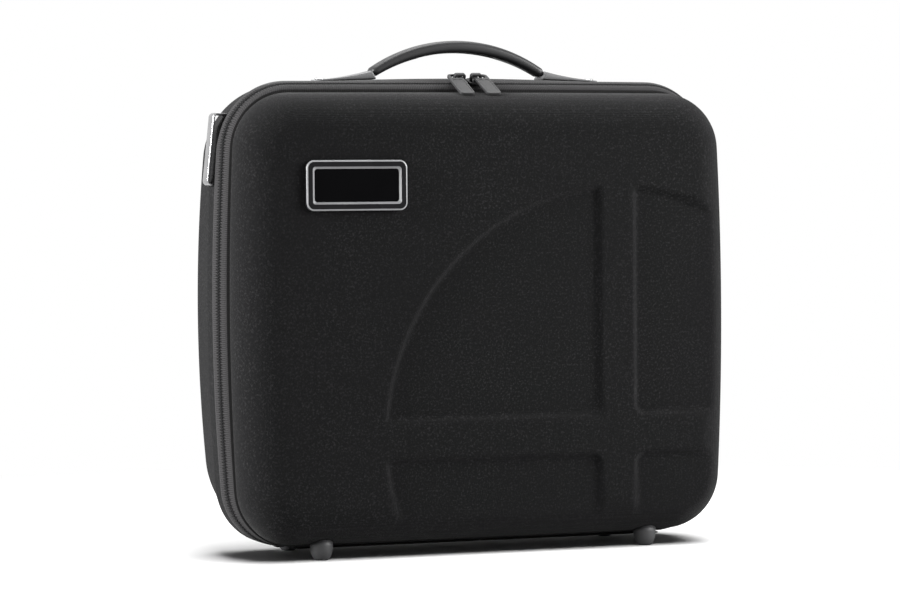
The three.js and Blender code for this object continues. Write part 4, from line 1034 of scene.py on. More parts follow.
class CASE_OT_handle(bpy.types.Operator):
    """Handle: an arched grip on a strap that ends in two riveted pieces"""

    bl_idname = "case.handle"
    bl_label = "Handle"

    def execute(self, context):
        h = context.scene.case_handle
        case = Case(context.scene.case_shell)
        self.grip(context, h, case)
        self.core(context, h, case)
        self.rivets(context, h, case)
        return {"FINISHED"}

    def section(self, turns, across, through, power):
        """A rounded oval: cosine and sine raised to a power below 1 square it off."""
        c, s = np.cos(turns), np.sin(turns)
        return across * np.sign(c) * np.abs(c) ** power, through * np.sign(s) * np.abs(s) ** power

    def arched(self, h, case, angle_at, across, out):
        """Points at an angle of the arch, from distances across it and out of its centre."""
        y = h.depth - case.s.middle + across
        height = h.crown - h.radius + out * math.cos(angle_at)
        return np.stack([out * math.sin(angle_at), y, height], axis=-1)

    def grip(self, context, h, case):
        turns = whole_turn(40)
        end = h.grip_end
        rings = []
        soft_edge, slot_fade, slot_edge = 0.0012, 0.004, 0.0008
        for angle_at in np.linspace(-end, end, 61):
            left = (end - abs(angle_at)) * h.radius
            draw = soft_edge * (1 - math.sqrt(max(0, 1 - (1 - min(left / soft_edge, 1)) ** 2)))
            thick = h.grip_thick - (h.grip_thick - h.grip_end_thick) * (angle_at / end) ** 2
            a, t = self.section(turns, h.grip_width / 2 - draw, thick / 2 - draw, 0.72)
            fade = eased((h.slot_angle - abs(angle_at)) * h.radius / slot_fade)
            groove = fade * eased((h.slot_width / 2 - np.abs(a)) / slot_edge + 0.5)
            t = np.where(t < 0, t + h.slot_depth * groove, t)
            rings.append((angle_at, a, h.radius - thick / 2 + t))
        for angle_at in np.linspace(end, -end, 13):
            a, t = self.section(turns, h.core_width / 2 + HAIR, h.core_thick / 2 + HAIR, 0.2)
            rings.append((angle_at, a, h.radius - h.core_deep + t))
        rows = np.array([self.arched(h, case, *ring) for ring in rings])
        piece(
            "grip_moulding",
            [closed(rows, joined=True)],
            plastic("Grip", context.scene.case_colours.grip, 0.45, 1800.0, 0.00002, 0.25),
            "base",
            ["handle_grip"],
        )

    def end_top(self, h, case, x):
        """Top of an end piece: a quadratic curve from the grip down to the tip."""
        turn = h.grip_end + HAIR / h.radius
        face = h.radius - h.shoulder_drop
        centre = h.crown - h.radius
        top = np.array([face * math.sin(turn), centre + face * math.cos(turn)])
        tip = np.array([h.tip, case.top_at(case.body, h.tip) + HAIR + h.tip_height])
        control = (top + tip) / 2 - np.array([0, h.sag])
        t = np.linspace(0, 1, 60)[:, None]
        curve = (1 - t) ** 2 * top + 2 * t * (1 - t) * control + t**2 * tip
        return np.interp(x, curve[:, 0], curve[:, 1])

    def core(self, context, h, case):
        middle = h.radius - h.core_deep
        turns = whole_turn(32)
        turn = h.grip_end + HAIR / h.radius
        start = (h.radius - h.grip_end_thick) * math.sin(turn)
        upper_start = (h.radius - h.shoulder_drop) * math.sin(turn)
        rows = []
        for share in np.concatenate([[0, 0.004, 0.012, 0.03], np.linspace(0.06, 1, 36)]):
            x = h.tip - (h.tip - start) * share
            lean = (upper_start - start) * eased((share - 0.6) / 0.4)
            left = h.tip - x
            half = h.end_width / 2
            if left < h.tip_round:
                half -= h.tip_round - math.sqrt(h.tip_round**2 - (h.tip_round - left) ** 2)
            top = self.end_top(h, case, x + lean)
            low = case.top_at(case.body, x) + HAIR
            a, t = self.section(turns, max(half, 0.0005), (top - low) / 2, 0.35)
            shift = lean * (t / max(top - low, 1e-6) + 0.5)
            rows.append(
                np.stack([x + shift, h.depth - case.s.middle + a, (top + low) / 2 + t], axis=-1)
            )
        strap = []
        for angle_at in np.linspace(turn, -turn, 41):
            a, t = self.section(turns, h.core_width / 2, h.core_thick / 2, 0.3)
            strap.append(self.arched(h, case, angle_at, a, middle + t))
        left_end = [row * np.array([-1, 1, 1]) for row in rows]
        whole = np.array(rows + strap + left_end[::-1])
        piece(
            "handle_strap",
            [closed(whole)],
            plastic("Handle ends", context.scene.case_colours.ends, 0.5, 1600.0, 0.00003, 0.25),
            "base",
            ["handle_core"],
        )

    def rivets(self, context, h, case):
        seat = float(self.end_top(h, case, h.rivet_x + h.rivet_head))
        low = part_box("handle_rivet_right")[0][2]
        r, g = h.rivet_head, h.rivet_height
        dome = [(r * math.cos(t), seat + 0.0004 + g * math.sin(t)) for t in np.linspace(0, 1.5, 9)]
        washer, shank, thick = 0.003, 0.0018, 0.0012
        profile = [(washer, low), (washer, low + thick), (shank, low + 0.0014), (shank, seat)]
        profile += [(r * 0.94, seat + 0.0002)] + dome
        turns = whole_turn(40)
        p = np.array(profile)
        rows = np.stack(
            np.broadcast_arrays(
                h.rivet_x + p[:, :1] * np.cos(turns),
                h.depth - case.s.middle + p[:, :1] * np.sin(turns),
                p[:, 1:],
            ),
            axis=-1,
        )
        part = closed(rows)
        metal = metal_material(context, True)
        for side, shape in both_sides(part):
            node = f"handle_rivet_{side}"
            piece(f"rivet_{side}", [shape], metal, "base", [node])


# Strap loops, sliders, badge, feet and foam


class CASE_OT_loops(bpy.types.Operator):
    """Strap loops: a flat bar bent twice, whose legs pass through the shell's side"""

    bl_idname = "case.loops"
    bl_label = "Strap loops"

    def execute(self, context):
        loop = context.scene.case_loop
        case = Case(context.scene.case_shell)
        place = LoopPlace(case, loop)
        out = loop.stand + loop.thick / 2
        half = place.span / 2
        corners = [(-loop.leg, -half), (out, -half), (out, half), (-loop.leg, half)]
        line, ways = bent(corners, loop.bend - loop.thick / 2, 10)
        rows = bar(line, ways, loop.width, loop.thick, loop.thick * 0.3)
        rows = place.to_case(rows[..., 0], rows[..., 1], rows[..., 2])
        part = closed(rows)
        metal = metal_material(context, True)
        for side, shape in both_sides(part):
            name = f"strap_loop_{side}"
            piece(f"{name}_bar", [shape], metal, "base", [name])
        satin = metal_material(context, False)
        for name in (
            *(f"strap_loop_plate_{side}" for side in ("left", "right")),
            *(f"handle_backing_plate_{side}" for side in ("left", "right")),
            *(f"zip_stop_{side}" for side in ("left", "right")),
        ):
            node = bpy.data.objects[name]
            node.data.materials.clear()
            node.data.materials.append(satin)
            edge = node.modifiers.new("Soft edges", "BEVEL")
            edge.width = 0.00025
            edge.segments = 2
            edge.limit_method = "ANGLE"
        return {"FINISHED"}


class CASE_OT_sliders(bpy.types.Operator):
    """Sliders with their bridges, and the pulls that hang on them"""

    bl_idname = "case.sliders"
    bl_label = "Sliders and pulls"

    def execute(self, context):
        z = context.scene.case_slider
        case = Case(context.scene.case_shell)
        metal = metal_material(context, False)
        body = self.body(z)
        pull = self.pull(z)
        lean = turned(case.s.slope)
        for side, right in (("left", -1), ("right", 1)):
            x = z.meet + right * context.scene.case_zip.gap
            y = case.s.chain_depth - case.s.middle
            foot = np.array([x, y, case.top_at(case.chain, z.meet)])
            flip, sink = np.array([right, 1, 1]), np.array([0, 0, z.sink])
            shapes = [closed((rows * flip - sink) @ lean.T + foot) for rows in body]
            name = f"slider_{side}"
            piece(f"{name}_body", shapes, metal, f"{side}_slider", [name])
            leg = z.bridge_in + z.bridge - z.bridge_thick / 2
            hang = np.array([right * leg, 0, z.channel / 2 + z.plate - z.sink + z.lift])
            swing = z.right_swing if right > 0 else 0.0
            c, s = math.cos(swing), math.sin(swing)
            spin = np.array([[c, -s, 0], [s, c, 0], [0, 0, 1]])
            rows = (pull @ turned(z.pull_tilt - case.s.slope).T @ spin.T + hang) @ lean.T + foot
            shape = closed(rows, joined=True)
            name = f"zip_pull_{side}"
            piece(f"{name}_tab", [shape], metal, f"{side}_pull", [name])
        return {"FINISHED"}

    def body(self, z):
        """Two plates, the wedge, the turned-in edges and the bridge of the right-hand slider."""
        long, wide, tail = z.long, z.shoulder / 2, z.tail / 2
        half = [(0, -wide), (long / 2, -tail), (long, -tail)]
        corners = half + [(x, -y) for x, y in half[::-1]]
        outline = filleted(corners, z.corner, 7)
        inner, outer = z.channel / 2, z.channel / 2 + z.plate
        edge = z.plate * 0.35
        parts = [slab(*outline, inner, outer, edge), slab(*outline, -outer, -inner, edge)]
        post = (z.plate * 0.6, z.plate * 0.6 + z.post)
        thick, tall = z.post_thick / 2, outer * 0.8
        parts.append(block(post, (-thick, thick), (-tall, tall), 0.0002))
        for across in (-1, 1):
            for up in (-1, 1):
                y = sorted((across * tail, across * (tail - z.flange)))
                level = sorted((up * (inner - z.flange_drop), up * (inner + z.plate / 2)))
                parts.append(block((z.corner, long - z.corner), y, level, 0.00025))
        half = (z.bridge - z.bridge_thick) / 2
        middle = z.bridge_in + z.bridge / 2
        top = z.bridge_rise - z.bridge_thick / 2
        left, right, foot = middle - half, middle + half, -z.plate / 2
        corners = [(left, foot), (left, top), (right, top), (right, foot)]
        line, ways = bent(corners, z.bridge_round - z.bridge_thick / 2)
        bridge = bar(line, ways, z.bridge_width, z.bridge_thick, z.bridge_thick * 0.3)
        bridge[..., 2] += outer
        return parts + [bridge]

    def pull(self, z):
        """A pull about its bridge's leg: rings from its eye to its edge and back underneath.

        The height over the face is the thickness less a sunk panel, which an S-curve of the
        distance to a rounded rectangle lets in.
        """
        half, end, head = z.pull_width / 2, z.pull_head - z.pull_long, z.pull_head
        corners = [(-half, end), (half, end), (half, head), (-half, head)]
        points, normals = filleted(corners, [z.end_cut, z.end_cut, z.head_round, z.head_round], 14)
        ends = np.concatenate([points, points[:1]])
        run = run_along(ends)
        places = 220
        even = np.arange(places) / places * run[-1]
        facing = np.concatenate([normals, normals[:1]])
        outer, facing = (
            np.stack([np.interp(even, run, values[:, i]) for i in (0, 1)], axis=-1)
            for values in (ends, facing)
        )
        facing /= np.linalg.norm(facing, axis=1)[:, None]
        eye, _ = filleted(rectangle(z.eye_width, z.eye_long), z.rim, 12)
        turn = np.arctan2(eye[:, 1], eye[:, 0])
        order = np.argsort(turn)
        angles = np.arctan2(outer[:, 1], outer[:, 0])
        reach = np.interp(angles, turn[order], np.linalg.norm(eye, axis=1)[order], period=TURN)
        way = np.stack([np.cos(angles), np.sin(angles)], axis=-1)
        inner = way * reach[:, None]
        edge, thick = 0.00045, z.pull_thick
        rounding = corner(edge, 6)
        start, stop = inner + way * edge, outer - facing * edge
        rows = [(inner + way * side, thick - down) for side, down in rounding[::-1]]
        rows += [(start + (stop - start) * share, thick) for share in np.linspace(0, 1, 46)[1:-1]]
        rows += [(outer - facing * side, thick - down) for side, down in rounding]
        rows += [(outer - facing * side, up) for side, up in rounding[::-1]]
        rows += [(start + (stop - start) * share, 0.0) for share in np.linspace(1, 0, 8)[1:-1]]
        rows += [(inner + way * side, up) for side, up in rounding]
        net = np.array(
            [np.column_stack([flat, np.full(len(flat), level)]) for flat, level in rows]
        )
        top, low = -z.panel, end + z.rim
        width, radius = z.pull_width - 2 * z.rim, z.end_cut - z.rim / 2
        centre = (top + low) / 2
        away = box_distance(net[..., 0], net[..., 1], width, top - low, radius, 0, centre)
        sunk = z.sunk * eased(0.5 - away / 0.0005)
        net[..., 2] = np.where(net[..., 2] > thick * 0.99, net[..., 2] - sunk, net[..., 2])
        return net


def turned(angle_of):
    """A turn about X, as a matrix for points in columns."""
    c, s = math.cos(angle_of), math.sin(angle_of)
    return np.array([[1, 0, 0], [0, c, -s], [0, s, c]])


class CASE_OT_badge(bpy.types.Operator):
    """Badge: a bevelled frame on the face and a plain glossy insert in it"""

    bl_idname = "case.badge"
    bl_label = "Badge"

    def execute(self, context):
        t = context.scene.case_trim
        middle = context.scene.case_shell.middle

        def ring(depth, inset):
            width, height = t.badge_width - 2 * inset, t.badge_height - 2 * inset
            radius = max(t.badge_corner - inset, t.inner_corner)
            flat, _ = filleted(rectangle(width, height, t.badge_x, t.badge_z), radius, 14)
            return np.column_stack([flat[:, 0], np.full(len(flat), depth - middle), flat[:, 1]])

        proud, outer = t.badge_proud, t.outer_bevel
        lip = outer + t.bezel
        panel = lip + t.inner_bevel
        profile = [(-HAIR, lip), (-HAIR, 0.0002), (-HAIR - 0.0001, 0)]
        profile += [(-proud + back, inset) for back, inset in corner(outer, 7)]
        profile += [(-proud, outer + 0.0004), (-proud, lip - 0.0005)]
        soft_edge = 0.0004
        profile += [
            (-proud + back, lip - 0.0002 + soft_edge - side)
            for side, back in corner(soft_edge, 5)
        ]
        face, floor = -proud + t.insert_sunk, -HAIR - t.frame_floor
        profile += [(face - 0.0002, panel - 0.0001), (face, panel)]
        profile += [(floor, panel), (floor, panel + 0.0006)]
        rows = np.array([ring(*level) for level in profile])
        c = context.scene.case_colours
        # Painted highlight: the outer and inner bevels get this paler colour, which stands in for
        # the lamps' highlight on the polished edges.
        edge = plastic("Badge edge", c.edge, 0.35, 1500.0, 0.000004)
        piece(
            "badge_bezel",
            [closed(rows)],
            plastic("Badge frame", c.frame, 0.28, 1500.0, 0.000004, 0.05),
            "lid",
            ["badge_frame"],
            [(edge, 5, 8), (edge, 14, 18)],
        )
        low, inset = floor - HAIR, panel + HAIR
        levels = [(low, inset + 0.0006), (low, inset)]
        levels += [(face + back, inset + side) for back, side in corner(0.0002, 5)]
        levels.append((face, inset + 0.0006))
        rows = np.array([ring(*level) for level in levels])
        piece(
            "badge_plate",
            [closed(rows)],
            plastic("Badge face", c.gloss, 0.12, 900.0, 0.000003, 0.02),
            "lid",
            ["badge_insert"],
        )
        return {"FINISHED"}


class CASE_OT_feet(bpy.types.Operator):
    """Feet: rubber domes turned about their axes, whose tops follow the shells' rounding"""

    bl_idname = "case.feet"
    bl_label = "Feet"

    def execute(self, context):
        s, t = context.scene.case_shell, context.scene.case_trim
        rubber = plastic("Foot rubber", context.scene.case_colours.rubber, 0.6, 1100.0, 0.00004)
        turns = whole_turn(48)
        rear_low = s.front_bottom - s.bottom_drop + s.rear_draft
        for name, body, depth, start, radius, low, towards in (
            ("foot_front", "lid", t.foot_front, s.front_round, s.front_round, s.front_bottom, -1),
            ("foot_rear", "base", t.foot_rear, s.rear_round_start, s.rear_round, rear_low, 1),
        ):
            wide, tip, tall = t.foot_radius, t.foot_tip, s.front_bottom
            radii = [tip * 0.6, tip]
            levels = [0.0, 0.0]
            for a in np.linspace(0, math.pi / 2, 14)[1:]:
                radii.append(tip + (wide - tip) * math.sin(a))
                levels.append(tall * (1 - math.cos(a)))
            r = np.array(radii)[:, None]
            x, y = r * np.cos(turns), depth + r * np.sin(turns)
            z = np.broadcast_to(np.array(levels)[:, None], x.shape)

            def shell(at):
                """Height of the shell's underside at a depth."""
                far = np.maximum(towards * (at - start), 0)
                return low + radius - np.sqrt((radius + HAIR) ** 2 - far**2)

            z = np.minimum(z, shell(y))
            r = np.linspace(wide, 0.0006, 12)[:, None]
            top_x, top_y = r * np.cos(turns), depth + r * np.sin(turns)
            rows = np.stack(
                [
                    t.foot_x + np.concatenate([x, top_x]),
                    np.concatenate([y, top_y]) - s.middle,
                    np.concatenate([z, shell(top_y)]),
                ],
                axis=-1,
            )
            part = closed(rows)
            for side, shape in both_sides(part):
                node = f"{name}_{side}"
                piece(f"{node}_dome", [shape], rubber, body, [node])
        return {"FINISHED"}


class CASE_OT_foam(bpy.types.Operator):
    """Foam: a plain pad in the lid and an insert with pockets in the base"""

    bl_idname = "case.foam"
    bl_label = "Foam"

    def execute(self, context):
        s, t = context.scene.case_shell, context.scene.case_trim
        case = Case(s)
        depth = s.rear_round_start + s.rear_round
        front = s.face_wall + s.inner_round_front
        back = depth - s.wall - s.inner_round_rear
        lid = (case.front, t.lid_foam_back, front, -1, s.inner_round_front)
        base = (case.back, t.base_foam_front, back, 1, s.inner_round_rear)
        for name, body, node, shape, pockets in (
            ("lid_pad", "lid", "lid_foam_pad", lid, None),
            ("base_insert", "base", "base_foam_insert", base, self.pockets(case, s, t)),
        ):
            part = self.loaf(case, t, *shape, pockets)
            pad = piece(name, [part], foam_material(context), body, [node])
        return {"FINISHED"}

    def pockets(self, case, s, t):
        """Depth of the pockets below the insert's face, as a function of a place on it."""
        side = case.body["side"] - s.wall - t.pocket_edge
        floor = s.rear_round_start + s.rear_round - s.wall - t.pocket_floor - t.base_foam_front
        wide, tall = t.microphone_width, t.microphone_long
        x = -side + t.thumb + wide / 2
        z = t.pocket_low + tall / 2
        right = side - t.mount_width / 2
        mount = t.pocket_low + tall - t.mount_height / 2
        cable = t.pocket_low + t.cable_height / 2
        rounding, thumb = t.pocket_corner, t.thumb
        shapes = [
            (wide, tall, wide / 2 - HAIR, x, z, floor),
            (t.mount_width, t.mount_height, rounding, right, mount, floor),
            (t.mount_width, t.cable_height, rounding, right, cable, floor),
            (wide + 2 * thumb, 2 * thumb, thumb - HAIR, x, z, floor - t.thumb_shallow),
        ]

        lip_wide, lip_deep, wall_wide = 0.0035, 0.0012, 0.0015

        def depth(px, pz):
            deepest = np.zeros_like(px)
            for width, height, radius, at_x, at_z, deep in shapes:
                away = box_distance(px, pz, width, height, radius, at_x, at_z)
                wall = 1 - np.clip((away + lip_wide) / wall_wide, 0, 1)
                lip = lip_deep * eased((0.0002 - away) / lip_wide)
                deepest = np.maximum(deepest, np.maximum(lip, deep * wall))
            return deepest

        return depth

    def loaf(self, case, t, form, face, start, towards, inner_round, pockets):
        """A pad that fills a shell, as sections level by level.

        Each section runs over the face from left to right and back over the far side. The face
        drops by a quarter circle at the pad's edge and by the pockets, and the far side is a
        quarter circle of the shell's inside radius, both functions of the distance to the pad's
        outline.
        """
        s, edge, radius = case.s, t.foam_edge, inner_round - t.foam_fit
        fine = np.linspace(0, 10, 1201)[:-1]
        track = case.outline(form, s.wall + t.foam_fit, fine)
        low, high = track[:, 1].min(), track[:, 1].max()
        # Sections and columns crowd towards the edges, a cosine's and a sine's share of the way.
        rising = np.linspace(0, 1, 160)
        spread = 0.75 * (1 - 2 * rising) + 0.25 * np.cos(np.linspace(0, math.pi, 160))
        heights = (low + high) / 2 - (high - low) / 2 * spread
        heights = np.clip(heights, low + 1e-5, high - 1e-5)
        right = track[fine <= 5]
        width = np.interp(heights, right[:, 1], right[:, 0])
        sideways = np.linspace(-1, 1, 180)
        grid = 0.78 * sideways + 0.22 * np.sin(sideways * math.pi / 2)
        x = width[:, None] * grid
        z = np.broadcast_to(heights[:, None], x.shape)
        flat = np.stack([x, z], axis=-1).reshape(-1, 2)
        squares = [
            ((part[:, None] - track[None]) ** 2).sum(axis=-1).min(axis=1)
            for part in np.array_split(flat, 60)
        ]
        away = np.sqrt(np.concatenate(squares)).reshape(x.shape)
        away[:, [0, -1]] = 0
        round_edge = edge * (1 - np.sqrt(1 - (1 - np.clip(away / edge, 0, 1)) ** 2))
        face_depth = face + towards * round_edge
        if pockets is not None:
            face_depth = face_depth + towards * pockets(x, z)
        far = start + towards * radius * np.sqrt(1 - (1 - np.clip(away / radius, 0, 1)) ** 2)
        near_side = np.stack([x, face_depth - s.middle, z], axis=-1)
        far_side = np.stack([x, far - s.middle, z], axis=-1)[:, ::-1]
        return closed(np.concatenate([near_side, far_side], axis=1))


# Materials


def feed(tree, node, inputs):
    """Gives a node its inputs, as (socket, value or output) pairs."""
    for socket, value in inputs:
        if isinstance(value, bpy.types.NodeSocket):
            tree.links.new(value, node.inputs[socket])
        else:
            node.inputs[socket].default_value = value
    return node


def add(tree, kind, inputs=(), **settings):
    """A node with its settings and its inputs."""
    node = tree.nodes.new(kind)
    for key, value in settings.items():
        setattr(node, key, value)
    return feed(tree, node, inputs)


def maths(tree, operation, a, b=0.0, clamp=False):
    node = add(tree, "ShaderNodeMath", [(0, a), (1, b)], operation=operation, use_clamp=clamp)
    return node.outputs[0]


def scaled(tree, value, scale, offset, clamp=False):
    """A value times a scale, plus an offset."""
    return maths(tree, "ADD", maths(tree, "MULTIPLY", value, scale), offset, clamp)


def lessened(tree, value, less, scale):
    """A value less another, times a scale, kept between 0 and 1."""
    return maths(tree, "MULTIPLY", maths(tree, "SUBTRACT", value, less), scale, True)


def noise(tree, vector, scale, detail=2.0, rough=0.5):
    inputs = [("Vector", vector), ("Scale", scale), ("Detail", detail), ("Roughness", rough)]
    return add(tree, "ShaderNodeTexNoise", inputs).outputs["Fac"]


def vector_maths(tree, operation, inputs):
    return add(tree, "ShaderNodeVectorMath", inputs, operation=operation).outputs


def parted(tree, vector):
    """The three parts of a vector."""
    return add(tree, "ShaderNodeSeparateXYZ", [(0, vector)]).outputs


def object_place(tree):
    return add(tree, "ShaderNodeTexCoord").outputs["Object"]


def weave_group():
    """Woven threads over a curved case: three crossed sines, loosened and worn by noise."""
    name = "Woven threads"
    if name in bpy.data.node_groups:
        return bpy.data.node_groups[name]
    group = bpy.data.node_groups.new(name, "ShaderNodeTree")
    for label, kind, way in (
        ("Vector", "Vector", "INPUT"),
        ("Pitch", "Float", "INPUT"),
        ("Height", "Float", "OUTPUT"),
        ("Lint", "Float", "OUTPUT"),
        ("Nap", "Float", "OUTPUT"),
    ):
        group.interface.new_socket(name=label, in_out=way, socket_type=f"NodeSocket{kind}")
    source = group.nodes.new("NodeGroupInput").outputs
    vector = source["Vector"]
    drift = add(group, "ShaderNodeTexNoise", [("Vector", vector), ("Scale", 900.0)])
    slack = [(0, drift.outputs["Color"]), (1, (0.0003,) * 3)]
    loose = vector_maths(group, "MULTIPLY", slack)[0]
    moved = vector_maths(group, "ADD", [(0, vector), (1, loose)])[0]
    per = maths(group, "DIVIDE", TURN, source["Pitch"])
    turns = vector_maths(group, "SCALE", [(0, moved), ("Scale", per)])[0]
    x, y, z = (maths(group, "SINE", part) for part in parted(group, turns))
    crossed = maths(group, "MULTIPLY", x, z)
    for a, b in ((y, z), (x, y)):
        crossed = maths(group, "ADD", crossed, maths(group, "MULTIPLY", a, b))
    height = scaled(group, crossed, 0.35, noise(group, vector, 1400.0))
    lint = lessened(group, noise(group, vector, 700.0, 3.0, 0.7), 0.52, 5.0)
    nap = noise(group, vector, 11.0, 4.0, 0.6)
    result = group.nodes.new("NodeGroupOutput")
    feed(group, result, [("Height", height), ("Lint", lint), ("Nap", nap)])
    return group


def woven(tree, place, pitch):
    """Outputs of the woven threads at a pitch."""
    inputs = [("Vector", place), ("Pitch", pitch)]
    node = add(tree, "ShaderNodeGroup", node_tree=weave_group())
    return feed(tree, node, inputs).outputs


def made_once(name):
    """Turns a function that shades a new material into one that gives the material of a name."""

    def wrap(shade):
        def given(context):
            found = bpy.data.materials.get(name)
            return found or shade(context, *principled(name))

        given.__doc__ = shade.__doc__
        return given

    return wrap


def principled(name):
    """A new material with its tree and its Principled shader."""
    material = bpy.data.materials.new(name)
    material.use_nodes = True
    tree = material.node_tree
    return material, tree, tree.nodes["Principled BSDF"]


def finish(tree, shader, base, rough, specular, height=None, depth=0.0, sheen=(0, 0.5), metal=0):
    """The shader's colour, roughness and shine, its sheen with its roughness, and its bump."""
    inputs = [("Base Color", base), ("Roughness", rough), ("Specular IOR Level", specular)]
    inputs += [("Sheen Weight", sheen[0]), ("Sheen Roughness", sheen[1]), ("Metallic", metal)]
    feed(tree, shader, inputs)
    if height is not None:
        relief_of = [("Height", height), ("Distance", depth), ("Strength", 1.0)]
        feed(tree, shader, [("Normal", add(tree, "ShaderNodeBump", relief_of).outputs[0])])


def mixed(tree, factor, a, b):
    node = add(tree, "ShaderNodeMix", [(0, factor), (6, a), (7, b)], data_type="RGBA")
    return node.outputs[2]


def four(c, scale=1.0):
    return (c[0] * scale, c[1] * scale, c[2] * scale, 1.0)


@made_once("Woven cover")
def cloth_material(context, material, tree, shader):
    """Woven cover: near-black threads, paler lint, a grazing sheen, a black edge at the seam."""
    c, s = context.scene.case_colours, context.scene.case_shell
    place = object_place(tree)
    weave = woven(tree, place, 0.0008)
    base = mixed(tree, weave["Lint"], four(c.cloth), four(c.cloth_lint))
    shade = mixed(tree, weave["Nap"], base, four(c.cloth, 1.15))
    # Painted shade: a band round the front rim turns near-black, standing in for the shadow in the
    # gap beside the zip tape.
    half = 0.4 * s.rim_soft
    from_seam_shadow = maths(tree, "SUBTRACT", parted(tree, place)[1], s.seam_depth - s.middle - half)
    edge = lessened(tree, half, maths(tree, "ABSOLUTE", from_seam_shadow), 6000.0)
    shade = mixed(tree, edge, shade, four(c.cloth, 0.1))
    rough = scaled(tree, weave["Nap"], 0.1, 0.85)
    finish(tree, shader, shade, rough, 0.06, weave["Height"], 0.00012, sheen=(0.035, 0.45))
    return material


@made_once("Lining")
def lining_material(context, material, tree, shader):
    """Flat-woven lining inside the shells: fine crossed ribs and a faint mottle."""
    c = context.scene.case_colours
    weave = woven(tree, object_place(tree), 0.0005)
    base = mixed(tree, weave["Nap"], four(c.lining, 0.8), four(c.lining, 1.3))
    rough = scaled(tree, weave["Nap"], 0.1, 0.75)
    finish(tree, shader, base, rough, 0.2, weave["Height"], 0.00006)
    return material


@made_once("Ribbed tape")
def tape_material(context, material, tree, shader):
    """Ribbed tape: ribs across it, a soft fray, and dark cloth at the seam and the chain."""
    c, s, z = (getattr(context.scene, f"case_{key}") for key in ("colours", "shell", "zip"))
    chart = add(tree, "ShaderNodeUVMap", uv_map="Cloth map").outputs[0]
    along = parted(tree, chart)[1]
    place = object_place(tree)
    depth = parted(tree, place)[1]
    fray = noise(tree, place, 800.0)
    run = maths(tree, "MULTIPLY", along, TURN / z.rib_pitch)
    ribs = maths(tree, "SINE", maths(tree, "ADD", run, maths(tree, "MULTIPLY", fray, 1.5)))
    height = scaled(tree, ribs, 0.5, fray)
    shade = scaled(tree, ribs, 0.45, fray, True)
    base = mixed(tree, shade, four(c.tape, 0.5), four(c.tape, 1.5))
    # Painted shade: the tape turns near-black beside the front shell's rim, standing in for the
    # shadow in the gap there.
    seam = lessened(tree, s.seam_depth - s.middle + z.seam_shade, depth, 3000.0)
    from_chain = maths(tree, "ABSOLUTE", maths(tree, "SUBTRACT", depth, s.chain_depth - s.middle))
    wave = maths(tree, "SINE", maths(tree, "MULTIPLY", along, TURN / z.tooth_pitch))
    reach = scaled(tree, wave, z.stitch * 0.5, z.stitch)
    chain = lessened(tree, reach, from_chain, 4000.0)
    base = mixed(tree, maths(tree, "MAXIMUM", seam, chain), base, four(c.tape, 0.08))
    rough = scaled(tree, fray, 0.2, 0.7)
    finish(tree, shader, base, rough, 0.08, height, 0.0001, sheen=(0.04, 0.5))
    return material


@made_once("Brushed foam")
def foam_material(context, material, tree, shader):
    """Brushed cloth over foam: a soft nap, mottled by noise at two sizes."""
    c = context.scene.case_colours
    place = object_place(tree)
    nap = noise(tree, place, 1200.0, 4.0, 0.7)
    broad = noise(tree, place, 35.0, 4.0, 0.6)
    shade = mixed(tree, nap, four(c.foam, 0.6), four(c.foam, 1.5))
    shade = mixed(tree, broad, shade, four(c.foam))
    rough = scaled(tree, nap, 0.15, 0.8)
    finish(tree, shader, shade, rough, 0.15, nap, 0.0002, sheen=(0.15, 0.6))
    return material


def plastic(name, base, rough, grain, depth, shine=0.5):
    """Moulded plastic or rubber: a fine grain, faint smears and uneven gloss."""
    if name in bpy.data.materials:
        return bpy.data.materials[name]
    material, tree, shader = principled(name)
    place = object_place(tree)
    broad = noise(tree, place, 60.0, 3.0)
    shade = mixed(tree, broad, four(base, 0.85), four(base, 1.2))
    gloss = scaled(tree, broad, 0.16, rough - 0.08)
    finish(tree, shader, shade, gloss, shine, noise(tree, place, grain, 3.0), depth)
    return material


def metal_material(context, bright):
    """Cast or plated metal: satin, with fine scratches along its length and uneven polish."""
    name = "Bright metal" if bright else "Satin metal"
    if name in bpy.data.materials:
        return bpy.data.materials[name]
    c = context.scene.case_colours
    base, rough, shine, scar = (
        (c.bright, 0.25, 0.5, 0.00001) if bright else (c.metal, 0.5, 0.15, 0.00004)
    )
    material, tree, shader = principled(name)
    place = object_place(tree)
    stretch = [("Vector", place), ("Scale", (1500.0, 1500.0, 120.0))]
    scratch = noise(tree, add(tree, "ShaderNodeMapping", stretch).outputs[0], 1.0, 3.0, 0.6)
    shade = mixed(tree, noise(tree, place, 140.0, 3.0), four(base, 0.8), four(base, 1.15))
    gloss = scaled(tree, scratch, 0.18, rough - 0.08)
    finish(tree, shader, shade, gloss, shine, scratch, scar, metal=float(bright))
    return material


# Stage


